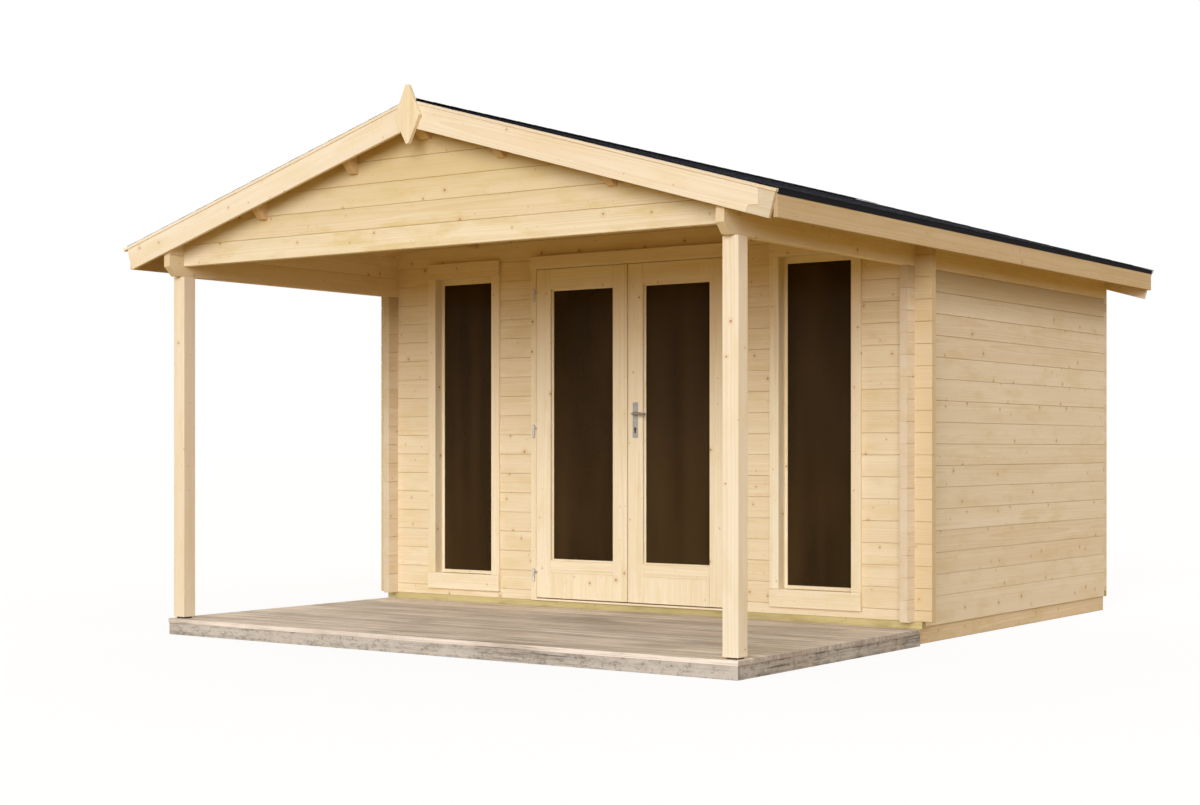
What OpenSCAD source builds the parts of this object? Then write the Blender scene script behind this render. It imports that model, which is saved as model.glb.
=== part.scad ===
// Wooden garden shed: log walls with lapped corners, glazed double doors and a roofed porch on two posts
// Millimetres, front towards -Y, ground at Z = 0, origin under the middle of the whole outline

/* [Walls] */
// Width over the outer faces of the side walls
wall_width = 3563; // [2600:1:4600]
// Depth from the front wall face to the rear wall face
wall_depth = 2700; // [1800:1:4200]
// Thickness of the logs
wall_thick = 44; // [34:1:60]
// Cover height of one log
log_height = 114; // [95:1:135]
// Greatest height of the door tops above the underside of the eaves beams
door_rise = 112; // [70:1:150]
// Depth of the V groove along each log joint
groove = 3; // [2:0.5:7]
// Length of the front wall logs past the side walls
front_stub = 96; // [40:1:150]
// Length of the side wall logs past the front wall
side_stub = 85; // [40:1:120]
// Play in each lapped corner notch
lap_play = 0.5; // [0.2:0.1:1.5]

/* [Base] */
// Height of the ground bearers
bearer_height = 87; // [60:1:140]
// Width of the ground bearers
bearer_width = 58; // [40:1:90]
// Set-back of the side bearers from the wall face
bearer_inset = 12; // [2:1:30]
// Distance the bearers stop short of the rear wall face
bearer_short = 26; // [10:1:36]
// Height of the treated sill under the front wall
sill_height = 37; // [20:1:60]
// Length of the front sill past the side walls
sill_past = 40; // [0:1:90]
// Thickness of the floor boards
floor_thick = 20; // [15:1:30]
// Space between floor boards and walls
floor_gap = 6; // [2:1:15]
// Largest spacing of the floor joists
joist_spacing = 450; // [300:1:500]

/* [Porch] */
// Front wall face to porch gable face
porch_depth = 1751; // [900:1:2400]
// Side of the square posts
post_side = 82; // [60:1:140]
// Height of the pad under each post
pad_height = 8; // [4:1:30]
// Side of the pad under each post
pad_side = 56; // [40:1:58]
// Length of the eaves beams in front of the porch gable
beam_nose = 104; // [70:1:130]
// Chamfer under the nose of each beam
nose_chamfer = 50; // [20:1:60]
// Deck edge past the side wall faces
deck_side = 33.5; // [10:0.5:120]
// Deck edge in front of the porch gable face
deck_nose = 44; // [25:1:90]
// Thickness of the deck boards
deck_board = 24; // [18:1:40]
// Lip of the deck boards over the deck frame
deck_lip = 3; // [2:1:25]
// Width of the deck frame timbers
deck_timber = 45; // [35:1:70]
// Largest spacing of the deck joists
deck_spacing = 460; // [300:1:500]
// Gap between the deck and the front wall
deck_gap = 2; // [1:0.5:6]

/* [Roof] */
// Extra height of the top log of the eaves beams
beam_extra = 20; // [10:1:40]
// Depth of the roof seat cut on the eaves beams
roof_seat = 16; // [6:1:30]
// Gap left at the sloping seats of the roof
seat_play = 0.3; // [0.1:0.1:0.8]
// Roof pitch in degrees
pitch = 16.15; // [12:0.05:22]
// Eaves overhang from the side wall face to the fascia face
eaves = 268; // [180:1:360]
// Rear overhang from the rear wall face to the back of the roof boards
rear_overhang = 48; // [30:1:200]
// Porch gable face to the front end of the roof boards
front_overhang = 108; // [104:1:200]
// Thickness of the roof boards
roof_board = 18; // [14:1:28]
// Thickness of the layers of roofing felt
felt = 8; // [4:0.5:12]
// Overhang of the felt past the capping battens
felt_over = 4; // [2:0.5:10]
// Depth of the felt drip below the fascia top
drip = 24; // [10:1:40]
// Half width of the felt capping on the ridge
ridge_lap = 165; // [100:1:240]
// Depth of the eaves fascia
fascia_depth = 124; // [60:1:160]
// Thickness of fascias and bargeboards
trim_thick = 20; // [14:1:30]
// Depth of the front bargeboards
barge_depth = 116; // [90:1:160]
// Depth of the rear bargeboards
rear_depth = 166; // [90:1:200]
// Thickness of the capping battens
cap_thick = 16; // [10:1:25]
// Length of the left capping battens past the bargeboards
cap_run = 30; // [5:1:60]
// Length of the right capping battens past the bargeboards
cap_stop = 4; // [0:1:60]
// Projection of the capping battens from the bargeboard face
cap_proud = 4; // [0:1:8]
// Height of the purlins
purlin_height = 155; // [110:1:190]
// Middle of the upper purlins from the ridge line
purlin_upper = 478; // [350:1:600]
// Middle of the lower purlins from the ridge line
purlin_lower = 1122; // [900:1:1250]
// Width of the ridge purlin
ridge_width = 60; // [44:1:80]
// Extra height of the ridge purlin
ridge_extra = 6; // [0:1:20]
// Chamfer under the purlin ends
purlin_chamfer = 80; // [40:1:100]
// Width of the gable finial
finial_width = 158; // [90:1:220]
// Height of the gable finial
finial_height = 288; // [180:1:340]
// Thickness of the gable finial
finial_thick = 24; // [14:1:36]
// Widest part of the finial below the top of the bargeboards
finial_drop = 68; // [20:1:90]
// Width of the blunt tips of the finial
finial_tip = 17; // [8:1:30]
// Length of the let-in end of the front right bargeboard
splice_length = 84; // [60:1:160]
// Step in the joint of the let-in end
splice_step = 50; // [20:1:80]

/* [Doors] */
// Width of one door leaf
leaf_width = 644; // [580:1:680]
// Height of the door leaves
leaf_height = 1917; // [1700:1:2200]
// Leaf bottom above the wall base
leaf_lift = 17; // [12:1:30]
// Thickness of the door leaves
leaf_thick = 40; // [34:1:48]
// Gap around each leaf
leaf_gap = 6; // [5:0.5:8]
// Middle of the leaf panes behind the leaf face
leaf_pane = 30; // [12:1:32]
// Width of the leaf stiles
stile = 100; // [80:1:130]
// Height of the leaf top rail
top_rail = 118; // [90:1:150]
// Height of the leaf bottom rail
bottom_rail = 219; // [150:1:260]
// Visible width of the door frame
jamb = 36; // [30:1:60]
// Projection of the door frame from the wall face
frame_proud = 16; // [10:1:30]
// Set-back of the leaves from the frame face
leaf_setback = 2; // [0:1:6]
// Projection of the door frame behind the wall
frame_back = 14; // [0:1:30]
// Width of the stops behind the leaves
stop_width = 22; // [12:1:30]
// Lap of the door frame over the log ends
frame_lap = 4; // [2:1:8]
// Height of the board over the doors
head_board = 72; // [50:1:85]
// Thickness of the board over the doors
head_thick = 22; // [14:1:30]
// Set-back of that board from the ends of the frame
head_inset = 6; // [0:1:20]
// Height from the frame head to the next log joint, at least
head_cover = 20; // [10:1:40]
// Hinge barrel diameter
hinge_dia = 13; // [10:0.5:14]
// Length of each pair of hinge knuckles
hinge_length = 70; // [50:1:100]
// Hinge axis outside the leaf edge
hinge_out = 14; // [12:0.5:20]
// Lowest hinge above the leaf bottom
hinge_low = 98; // [60:1:200]
// Middle hinge below the middle of the leaf
hinge_mid = 20; // [0:1:100]
// Highest hinge below the leaf top
hinge_high = 185; // [120:1:300]
// Thickness of the hinge straps
strap = 4; // [3:0.5:6]
// Gap between the two knuckles of a hinge
hinge_play = 0.6; // [0.3:0.1:0.9]
// Handle height above the leaf bottom
handle_height = 1068; // [900:1:1150]
// Lever axis from the meeting edge of the leaf
lever_inset = 52; // [40:1:70]
// Thickness of the handle plates
plate_thick = 4; // [2:0.5:6]
// Handle plate width
plate_width = 35; // [28:1:45]
// Handle plate height
plate_height = 200; // [150:1:240]
// Keyhole below the lever axis
key_drop = 72; // [60:1:90]
// Keyhole diameter
key_dia = 8; // [6:0.5:12]
// Lever length from its turning axis
lever_length = 92; // [75:1:120]
// Lever bar diameter
lever_dia = 14; // [10:0.5:18]
// Play of the spindle in its bore
spindle_play = 0.5; // [0.2:0.1:0.9]
// Distance of the lever from the leaf face
lever_reach = 48; // [40:1:60]

/* [Windows] */
// Middle of each window from the middle of the front
window_offset = 1204; // [1160:1:1230]
// Width of the glass seen in each window
glass_width = 400; // [300:1:420]
// Glass top of each window below the door tops
glass_drop = 51; // [40:1:120]
// Glass bottom above the wall base
glass_sill = 153; // [130:1:180]
// Visible width of the glazing beads
bead = 18; // [12:1:30]
// Visible height of the head bead
head_bead = 36; // [16:1:40]
// Thickness of the window lining
lining = 22; // [16:1:30]
// Depth of the glass behind the wall face
glass_depth = 56; // [20:1:60]
// Width of the side trims
trim_side = 56; // [40:1:62]
// Height of the head trim
trim_head = 91; // [60:1:95]
// Height of the bottom trim
trim_foot = 97; // [50:1:100]
// Overhang of the head and bottom trims past the side trims
trim_over = 2; // [1:1:16]
// Thickness of the window trims
trim_board = 18; // [12:1:25]
// Thickness of the panes
pane = 6; // [4:1:12]
// Depth of the panes in their grooves
pane_edge = 10; // [6:1:14]
// Thickness of the beads on each side of a pane
bead_thick = 8; // [6:1:14]
// Step of the head and bottom trims in front of the side trims
trim_step = 4; // [0:1:8]

/* [Hidden] */
$fn = 48;
eps = 0.5;
half = wall_width / 2;
inner = half - wall_thick;
// Rise of the roof per length
rise = tan(pitch);
flat = cos(pitch);
slant = sin(pitch);
// Heights of the base, the side log joints and the front log joints
base_z = bearer_height + sill_height;
front_first = base_z + log_height / 2;
side_logs = ceil((leaf_lift + leaf_height - door_rise) / log_height);
beam_z = base_z + side_logs * log_height;
beam_top = beam_z + 2 * log_height + beam_extra;
// Underside of the roof boards over the ridge line
ridge_z = beam_top - roof_seat + half * rise;
board_up = roof_board / flat;
felt_up = felt / flat;
roof_half = half + eaves - trim_thick;
fascia_x = half + eaves;
// Front and rear ends
front_reach = porch_depth + front_overhang + trim_thick + finial_thick;
rear_reach = wall_depth + rear_overhang + trim_thick + cap_proud + felt_over;
wall_y = (front_reach - rear_reach) / 2;
rear_y = wall_y + wall_depth;
gable_y = wall_y - porch_depth;
roof_front = gable_y - front_overhang;
roof_rear = rear_y + rear_overhang;
roof_length = roof_rear - roof_front;
post_y = gable_y + wall_thick / 2;
post_x = half - wall_thick / 2;
deck_front = gable_y - deck_nose;
deck_depth = wall_y - deck_gap - deck_front;
deck_width = wall_width + 2 * deck_side;
// Door opening
leaf_z = base_z + leaf_lift;
leaf_top = leaf_z + leaf_height;
leaf_edge = leaf_width + leaf_gap / 2;
jamb_in = leaf_edge + leaf_gap;
jamb_out = jamb_in + jamb;
head_in = leaf_top + leaf_gap;
// The logs over the doors start at this front log joint
head_joint = front_first + ceil((head_in + head_cover - front_first) / log_height) * log_height;
leaf_y = wall_y - frame_proud + leaf_setback;
hinge_x = leaf_edge + hinge_out;
hinge_y = leaf_y - leaf_setback - hinge_dia / 2 - leaf_gap;
hinge_zs = [leaf_z + hinge_low, leaf_z + leaf_height / 2 - hinge_mid, leaf_top - hinge_high];
lever_x = leaf_gap / 2 + lever_inset;
lever_z = leaf_z + handle_height;
// Window opening
opening_half = glass_width / 2 + bead;
hole_half = opening_half + lining;
glass_z = base_z + glass_sill;
glass_top = leaf_top - glass_drop;
glass_y = wall_y + glass_depth;

function under(x) = ridge_z - abs(x) * rise;
function decked(x) = under(x) + board_up;
function felted(x) = decked(x) + felt_up;
// Top of the bargeboards under their capping battens, which end flush with the roof boards
function capped(x) = decked(x) - seat_play - cap_thick / flat;
function inside(z, a, b) = z > a + groove + 1 && z < b - groove - 1;
function front_joints(a, b) =
    [for (k = [0 : 40]) let (z = front_first + k * log_height) if (inside(z, a, b)) z];
function side_joints(a, b) =
    [for (k = [1 : side_logs + 1]) let (z = base_z + k * log_height) if (inside(z, a, b)) z];

// Section of stacked logs with a V groove on both faces at each joint
module log_section(a, b, joints, t) {
    n = len(joints);
    polygon(concat(
        [[0, a]],
        [for (z = joints) for (p = [[0, z - groove], [groove, z], [0, z + groove]]) p],
        [[0, b], [t, b]],
        [for (i = [1 : n]) let (z = joints[n - i])
            for (p = [[t, z + groove], [t - groove, z], [t, z - groove]]) p],
        [[t, a]]));
}

// Logs along X from x0 to x1 with their front face at y
module cross_logs(x0, x1, y, a, b) {
    translate([x0, y, 0])
        rotate([90, 0, 90])
            linear_extrude(x1 - x0)
                log_section(a, b, front_joints(a, b), wall_thick);
}

// Logs along Y from y0 to y1 with their low-X face at x
module long_logs(x, y0, y1, a, b) {
    translate([x, y1, 0])
        rotate([90, 0, 0])
            linear_extrude(y1 - y0)
                log_section(a, b, side_joints(a, b), wall_thick);
}

// Neck heights of the cross logs in a lapped corner; the long logs fill the heights between
module cross_necks(x, y, a, b, play) {
    q = log_height / 4;
    for (k = [-1 : 40]) {
        z = front_first + k * log_height;
        lo = max(k < 0 ? a : z + q, a);
        hi = min(z + 3 * q, b);
        if (hi > lo)
            translate([x - play, y - play, lo])
                cube([wall_thick + 2 * play, wall_thick + 2 * play, hi - lo]);
    }
}

// Neck heights of the long logs in a lapped corner
module long_necks(x, y, a, b, play) {
    q = log_height / 4;
    for (k = [0 : 40]) {
        z = front_first + k * log_height;
        lo = max(z - q, a);
        hi = min(z + q, b);
        if (hi > lo)
            translate([x - play, y - play, lo])
                cube([wall_thick + 2 * play, wall_thick + 2 * play, hi - lo]);
    }
}

// Everything below the underside of the roof boards
module below_roof() {
    w = half + 2 * eaves;
    translate([0, roof_rear + eaves, 0])
        rotate([90, 0, 0])
            linear_extrude(roof_length + 2 * eaves)
                polygon([[-w, -10], [w, -10], [w, under(w) - seat_play], [0, ridge_z - seat_play],
                    [-w, under(w) - seat_play]]);
}

// Outline of a purlin in the gable plane, grown by play for its notch
module purlin_outline(x, play) {
    w = wall_thick / 2 + play;
    z = under(x) - purlin_height;
    up = play > 0 ? 2 * play : -seat_play;
    polygon([[x - w, z], [x + w, z], [x + w, under(x + w) + up], [x - w, under(x - w) + up]]);
}

module ridge_outline(play) {
    w = ridge_width / 2 + play;
    z = ridge_z - purlin_height - ridge_extra;
    up = play > 0 ? 2 * play : -seat_play;
    polygon([[-w, z], [w, z], [w, under(w) + up], [0, ridge_z + up], [-w, under(w) + up]]);
}

// Notches for all purlins through a gable between y0 and y1
module purlin_notches(y0, y1) {
    translate([0, y1, 0])
        rotate([90, 0, 0])
            linear_extrude(y1 - y0) {
                ridge_outline(lap_play);
                for (s = [-1, 1])
                    for (x = [purlin_upper, purlin_lower])
                        purlin_outline(s * x, lap_play);
            }
}

// Wedge that chamfers the underside of a beam nose at y, with its foot at z
module nose_cut(x, w, y, z, c) {
    translate([x - 1, 0, 0])
        rotate([90, 0, 90])
            linear_extrude(w + 2)
                polygon([[y - 1, z - 1], [y + c, z - 1], [y + c, z], [y, z + c], [y - 1, z + c]]);
}

module bearers() {
    x = half - bearer_inset - bearer_width;
    color("#b79a68")
        for (b = [-x - bearer_width, x])
            translate([b, wall_y, 0])
                cube([bearer_width, wall_depth - bearer_short, bearer_height]);
}

module floor_joists() {
    x = half - bearer_inset - bearer_width;
    n = ceil(wall_depth / joist_spacing);
    step = (wall_depth - bearer_short - deck_gap - bearer_width) / n;
    color("#b39a63")
        for (i = [0 : n])
            translate([-x, wall_y + deck_gap + i * step, 0])
                cube([2 * x, bearer_width, bearer_height]);
}

module floor_boards() {
    g = wall_thick + floor_gap;
    color("#d2b482")
        translate([-inner + floor_gap, wall_y + g, bearer_height])
            cube([2 * (inner - floor_gap), wall_depth - 2 * g, floor_thick]);
}

module front_sill() {
    color("#d9c98a")
        translate([-half - sill_past, wall_y, bearer_height])
            cube([wall_width + 2 * sill_past, wall_thick, sill_height]);
}

module rear_sill() {
    color("#d9c98a")
        translate([-half, rear_y - wall_thick, bearer_height])
            cube([wall_width, wall_thick, sill_height]);
}

module side_wall(s) {
    x = s > 0 ? inner : -half;
    color("#d8bd8c")
        difference() {
            long_logs(x, wall_y - side_stub, rear_y, bearer_height, beam_z);
            cross_necks(x, wall_y, bearer_height - 1, beam_z, lap_play);
            cross_necks(x, rear_y - wall_thick, bearer_height - 1, beam_z, lap_play);
            // the stub in front of the corner stops at the wall base
            translate([x - 1, wall_y - side_stub - 1, bearer_height - 1])
                cube([wall_thick + 2, side_stub + 1, sill_height + 1]);
        }
}

module left_wall() {
    side_wall(-1);
}

module right_wall() {
    side_wall(1);
}

module rear_wall() {
    y = rear_y - wall_thick;
    color("#d8bd8c")
        difference() {
            intersection() {
                cross_logs(-half, half, y, base_z, ridge_z);
                below_roof();
            }
            for (x = [-half, inner])
                long_necks(x, y, base_z, beam_top, lap_play);
            purlin_notches(y - 1, rear_y + 1);
        }
}

// Block centred on a window, between two heights and two depths
module window_block(s, w, z0, z1, y0, y1) {
    translate([s * window_offset - w, y0, z0])
        cube([2 * w, y1 - y0, z1 - z0]);
}

// One side of the front wall up to the joint over the doors, with its window hole
module front_side(s) {
    a = jamb_out - frame_lap;
    b = half + front_stub;
    color("#e3c796")
        difference() {
            intersection() {
                cross_logs(s > 0 ? a : -b, s > 0 ? b : -a, wall_y, base_z, head_joint);
                below_roof();
            }
            long_necks(s > 0 ? inner : -half, wall_y, base_z, head_joint, lap_play);
            window_block(s, hole_half, glass_z - bead - lining, glass_top + head_bead + lining,
                wall_y - 1, wall_y + wall_thick + 1);
        }
}

module front_wall_left() {
    front_side(-1);
}

module front_wall_right() {
    front_side(1);
}

module front_gable() {
    b = half + front_stub;
    color("#cfae74")
        difference() {
            intersection() {
                cross_logs(-b, b, wall_y, head_joint, ridge_z);
                below_roof();
            }
            for (x = [-half, inner])
                long_necks(x, wall_y, head_joint, beam_top, lap_play);
            purlin_notches(wall_y - 1, wall_y + wall_thick + 1);
        }
}

// The top two side logs, running from the rear wall to the porch nose
module eaves_beam(s) {
    x = s > 0 ? inner : -half;
    y = gable_y - beam_nose;
    color("#d3b47e")
        difference() {
            intersection() {
                long_logs(x, y, rear_y, beam_z, beam_top);
                below_roof();
            }
            cross_necks(x, gable_y, beam_z + log_height / 2, beam_top + 1, lap_play);
            for (c = [wall_y, rear_y - wall_thick])
                cross_necks(x, c, beam_z, beam_top + 1, lap_play);
            nose_cut(x, wall_thick, y, beam_z, nose_chamfer);
        }
}

module left_eaves_beam() {
    eaves_beam(-1);
}

module right_eaves_beam() {
    eaves_beam(1);
}

module porch_gable() {
    color("#e6cb9b")
        difference() {
            intersection() {
                cross_logs(-half, half, gable_y, beam_z + log_height / 2, ridge_z);
                below_roof();
            }
            for (x = [-half, inner])
                long_necks(x, gable_y, beam_z, beam_top, lap_play);
            purlin_notches(gable_y - 1, gable_y + wall_thick + 1);
        }
}

module post(s) {
    z = bearer_height + pad_height;
    color("#ecd6ab")
        translate([s * post_x - post_side / 2, post_y - post_side / 2, z])
            cube([post_side, post_side, beam_z - z]);
}

module left_post() {
    post(-1);
}

module right_post() {
    post(1);
}

module post_pads() {
    color("#4a443c")
        for (s = [-1, 1])
            translate([s * post_x - pad_side / 2, post_y - pad_side / 2, bearer_height])
                cube([pad_side, pad_side, pad_height]);
}

module deck_joists() {
    w = deck_width - 2 * deck_lip;
    n = ceil(w / deck_spacing);
    color("#a89c89")
        for (i = [0 : n])
            translate([-w / 2 + i * (w - deck_timber) / n, deck_front + deck_lip + trim_thick, 0])
                cube([deck_timber, deck_depth - deck_lip - trim_thick, bearer_height - deck_board]);
}

module deck_fascia() {
    w = deck_width - 2 * deck_lip;
    color("#a89c89")
        translate([-w / 2, deck_front + deck_lip, 0])
            cube([w, trim_thick, bearer_height - deck_board]);
}

module deck_boards() {
    color("#b3a592")
        translate([-deck_width / 2, deck_front, bearer_height - deck_board])
            cube([deck_width, deck_depth, deck_board]);
}

module ridge_purlin() {
    color("#cda865")
        difference() {
            translate([0, roof_rear, 0])
                rotate([90, 0, 0])
                    linear_extrude(roof_length)
                        ridge_outline(0);
            nose_cut(-ridge_width / 2, ridge_width, roof_front,
                ridge_z - purlin_height - ridge_extra, purlin_chamfer);
        }
}

module purlins() {
    color("#cda865")
        for (s = [-1, 1])
            for (d = [purlin_upper, purlin_lower])
                difference() {
                    translate([0, roof_rear, 0])
                        rotate([90, 0, 0])
                            linear_extrude(roof_length)
                                purlin_outline(s * d, 0);
                    nose_cut(s * d - wall_thick / 2, wall_thick, roof_front,
                        under(d) - purlin_height, purlin_chamfer);
                }
}

module roof_slope(s) {
    color("#c9a868")
        translate([0, roof_rear, 0])
            rotate([90, 0, 0])
                linear_extrude(roof_length)
                    polygon([[0, ridge_z], [s * roof_half, under(roof_half)],
                        [s * roof_half, decked(roof_half)], [0, ridge_z + board_up]]);
}

module left_roof_boards() {
    roof_slope(-1);
}

module right_roof_boards() {
    roof_slope(1);
}

// Felt over the boards and the capping battens, with a drip in front of the fascia
module felt_slope(s) {
    x = fascia_x;
    verge = trim_thick + cap_proud + felt_over;
    color("#2c2c31") {
        translate([0, roof_rear + verge, 0])
            rotate([90, 0, 0])
                linear_extrude(roof_length + 2 * verge)
                    polygon([[0, decked(0)], [s * (x + felt), decked(x + felt)],
                        [s * (x + felt), felted(x + felt)], [0, felted(0)]]);
        translate([0, roof_rear, 0])
            rotate([90, 0, 0])
                linear_extrude(roof_length)
                    polygon([[s * x, decked(x) - drip], [s * (x + felt), decked(x) - drip],
                        [s * (x + felt), felted(x + felt)], [s * x, felted(x)]]);
    }
}

module left_felt() {
    felt_slope(-1);
}

module right_felt() {
    felt_slope(1);
}

// Felt capping folded over the ridge
module ridge_felt() {
    w = ridge_lap;
    t = felt_up + seat_play;
    verge = trim_thick + cap_proud + felt_over;
    color("#2c2c31")
        translate([0, roof_rear + verge, 0])
            rotate([90, 0, 0])
                linear_extrude(roof_length + 2 * verge)
                    polygon([[0, felted(0) + seat_play], [w, felted(w) + seat_play], [w, felted(w) + t],
                        [0, felted(0) + t], [-w, felted(w) + t], [-w, felted(w) + seat_play]]);
}

// Bargeboard outline on one slope with its lower end cut square to the slope
module barge_outline(s, depth) {
    x = fascia_x;
    t = capped(x);
    polygon([[0, capped(0)], [s * x, t], [s * (x - depth * slant), t - depth * flat],
        [0, capped(0) - depth / flat]]);
}

module cap_outline(s, run) {
    x = fascia_x + run * flat;
    polygon([[0, capped(0)], [s * x, capped(x)],
        [s * (x + cap_thick * slant), capped(x) + cap_thick * flat], [0, capped(0) + cap_thick / flat]]);
}

// Let-in end of the front right bargeboard, with one step in its joint
module splice_outline(play) {
    x = fascia_x - splice_length;
    m = capped(fascia_x) - barge_depth * flat * 0.44;
    e = fascia_x + splice_length;
    polygon([[x + play, capped(0)], [x + play, m - play], [x - splice_step + play, m - play],
        [x - splice_step * 1.3 + play, m - barge_depth], [e, m - barge_depth], [e, capped(0)]]);
}

// Board with its lower face at y, and its capping batten with its lower edge at c
module barge(s, y, c, run, depth) {
    translate([0, y + trim_thick, 0])
        rotate([90, 0, 0])
            linear_extrude(trim_thick)
                barge_outline(s, depth);
    translate([0, c + trim_thick + cap_proud, 0])
        rotate([90, 0, 0])
            linear_extrude(trim_thick + cap_proud)
                cap_outline(s, run);
}

module front_left_barge() {
    color("#efdcb4")
        barge(-1, roof_front - trim_thick, roof_front - trim_thick - cap_proud, cap_run, barge_depth);
}

module front_right_barge() {
    color("#efdcb4")
        difference() {
            barge(1, roof_front - trim_thick, roof_front - trim_thick - cap_proud, cap_stop, barge_depth);
            translate([0, roof_front + 1, 0])
                rotate([90, 0, 0])
                    linear_extrude(trim_thick + 2)
                        intersection() {
                            splice_outline(0);
                            polygon([[0, capped(0)], [2 * fascia_x, capped(2 * fascia_x)],
                                [2 * fascia_x, 0], [0, 0]]);
                        }
        }
}

module barge_splice() {
    color("#d9c9a4")
        translate([0, roof_front, 0])
            rotate([90, 0, 0])
                linear_extrude(trim_thick)
                    intersection() {
                        translate([0, -seat_play])
                            barge_outline(1, barge_depth);
                        splice_outline(seat_play);
                    }
}

module rear_left_barge() {
    color("#dcc596")
        barge(-1, roof_rear, roof_rear, cap_run, rear_depth);
}

module rear_right_barge() {
    color("#dcc596")
        barge(1, roof_rear, roof_rear, cap_stop, rear_depth);
}

module finial() {
    m = capped(0) - finial_drop;
    w = finial_width / 2;
    e = finial_tip / 2;
    h = finial_height;
    y = roof_front - trim_thick;
    up = felt_up + 2 * seat_play;
    color("#e9d3a6")
        difference() {
            translate([0, y, 0])
                rotate([90, 0, 0])
                    linear_extrude(finial_thick)
                        polygon([[-e, m + h * 0.53], [e, m + h * 0.53], [w, m], [e, m - h * 0.47],
                            [-e, m - h * 0.47], [-w, m]]);
            // housing over the capping battens and the felt
            translate([0, y + 1, 0])
                rotate([90, 0, 0])
                    linear_extrude(cap_proud + felt_over + seat_play + 1)
                        polygon([[0, capped(0) - seat_play], [w, capped(w) - seat_play],
                            [w, felted(w) + up], [0, felted(0) + up], [-w, felted(w) + up],
                            [-w, capped(w) - seat_play]]);
        }
}

module fascia(s) {
    a = roof_half;
    b = fascia_x;
    color("#dcc08c")
        translate([0, roof_rear, 0])
            rotate([90, 0, 0])
                linear_extrude(roof_length)
                    polygon([[s * a, decked(b) - fascia_depth], [s * b, decked(b) - fascia_depth],
                        [s * b, decked(b)], [s * a, decked(a)]]);
}

module left_fascia() {
    fascia(-1);
}

module right_fascia() {
    fascia(1);
}

// Lining in the wall hole, glazing beads, and the trims on the wall face
module window_frame(s) {
    ow = opening_half + trim_side;
    z0 = glass_z - bead;
    z1 = glass_top + head_bead;
    face = wall_y - trim_board - trim_step;
    color("#dcbf8b")
        difference() {
            union() {
                window_block(s, hole_half, z0 - lining, z1 + lining, wall_y - eps,
                    glass_y + 2 * bead_thick);
                window_block(s, ow, z0 - eps, z1 + eps, wall_y - trim_board, wall_y);
                window_block(s, ow + trim_over, z0 - trim_foot, z0, face, wall_y);
                window_block(s, ow + trim_over, z1, z1 + trim_head, face, wall_y);
            }
            window_block(s, opening_half, z0, z1, face - 1, glass_y - bead_thick);
            window_block(s, glass_width / 2, glass_z, glass_top, wall_y, glass_y + 2 * bead_thick + 1);
            window_block(s, glass_width / 2 + pane_edge, glass_z - pane_edge, glass_top + pane_edge,
                glass_y - pane / 2, glass_y + pane / 2);
        }
}

module left_window_frame() {
    window_frame(-1);
}

module right_window_frame() {
    window_frame(1);
}

module window_glass(s) {
    color("#3a2a1a", 0.6)
        window_block(s, glass_width / 2 + pane_edge, glass_z - pane_edge, glass_top + pane_edge,
            glass_y - pane / 2, glass_y + pane / 2);
}

module left_window_glass() {
    window_glass(-1);
}

module right_window_glass() {
    window_glass(1);
}

// Jambs, head, threshold and the stops behind the leaves
module door_frame() {
    y0 = wall_y - frame_proud;
    y1 = wall_y + wall_thick + frame_back;
    stop_y = leaf_y + leaf_thick + leaf_gap;
    color("#d8ba85")
        difference() {
            translate([-jamb_out, y0, base_z])
                cube([2 * jamb_out, y1 - y0, head_joint - base_z]);
            translate([-jamb_in, y0 - 1, leaf_z - leaf_gap])
                cube([2 * jamb_in, stop_y - y0 + 1, head_in - leaf_z + leaf_gap]);
            translate([-jamb_in + stop_width, y0 - 1, leaf_z - leaf_gap])
                cube([2 * jamb_in - 2 * stop_width, y1 - y0 + 2, head_in - leaf_z + leaf_gap - stop_width]);
            for (s = [-1, 1])
                translate([s > 0 ? jamb_out - frame_lap : -jamb_out - eps, wall_y, base_z - 1])
                    cube([frame_lap + eps, wall_thick, head_joint]);
        }
}

module door_head_board() {
    color("#d2b27a")
        translate([-jamb_out + head_inset, wall_y - frame_proud - head_thick, head_in])
            cube([2 * (jamb_out - head_inset), head_thick, head_board]);
}

// Knuckles fixed to the door frame, under those of the leaves
module frame_hinges() {
    h = (hinge_length - hinge_play) / 2;
    y1 = wall_y - frame_proud;
    color("#6f6b62")
        for (s = [-1, 1])
            for (z = hinge_zs) {
                translate([s * hinge_x, hinge_y, z])
                    cylinder(d = hinge_dia, h = h);
                translate([s > 0 ? hinge_x : -hinge_x - 2 * strap, hinge_y - strap / 2, z])
                    cube([2 * strap, y1 - hinge_y + strap / 2, h - strap]);
                translate([s > 0 ? hinge_x : -jamb_out + frame_lap, y1 - strap, z])
                    cube([jamb_out - hinge_x - frame_lap, strap, h - strap]);
            }
}

// Knuckles with cranked straps fixed to the edge of one leaf
module leaf_hinges(s) {
    h = (hinge_length - hinge_play) / 2;
    up = h + hinge_play;
    color("#6f6b62")
        for (z = hinge_zs) {
            translate([s * hinge_x, hinge_y, z + up])
                cylinder(d = hinge_dia, h = h);
            translate([s > 0 ? leaf_edge - 2 * strap : -leaf_edge, hinge_y - strap / 2, z + up + strap])
                cube([2 * strap, leaf_y - hinge_y + strap / 2, h - strap]);
            translate([s > 0 ? leaf_edge - 2 * strap : -hinge_x, hinge_y - strap / 2, z + up + strap])
                cube([hinge_x - leaf_edge + 2 * strap, strap, h - strap]);
        }
}

module left_hinges() {
    leaf_hinges(-1);
}

module right_hinges() {
    leaf_hinges(1);
}

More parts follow.
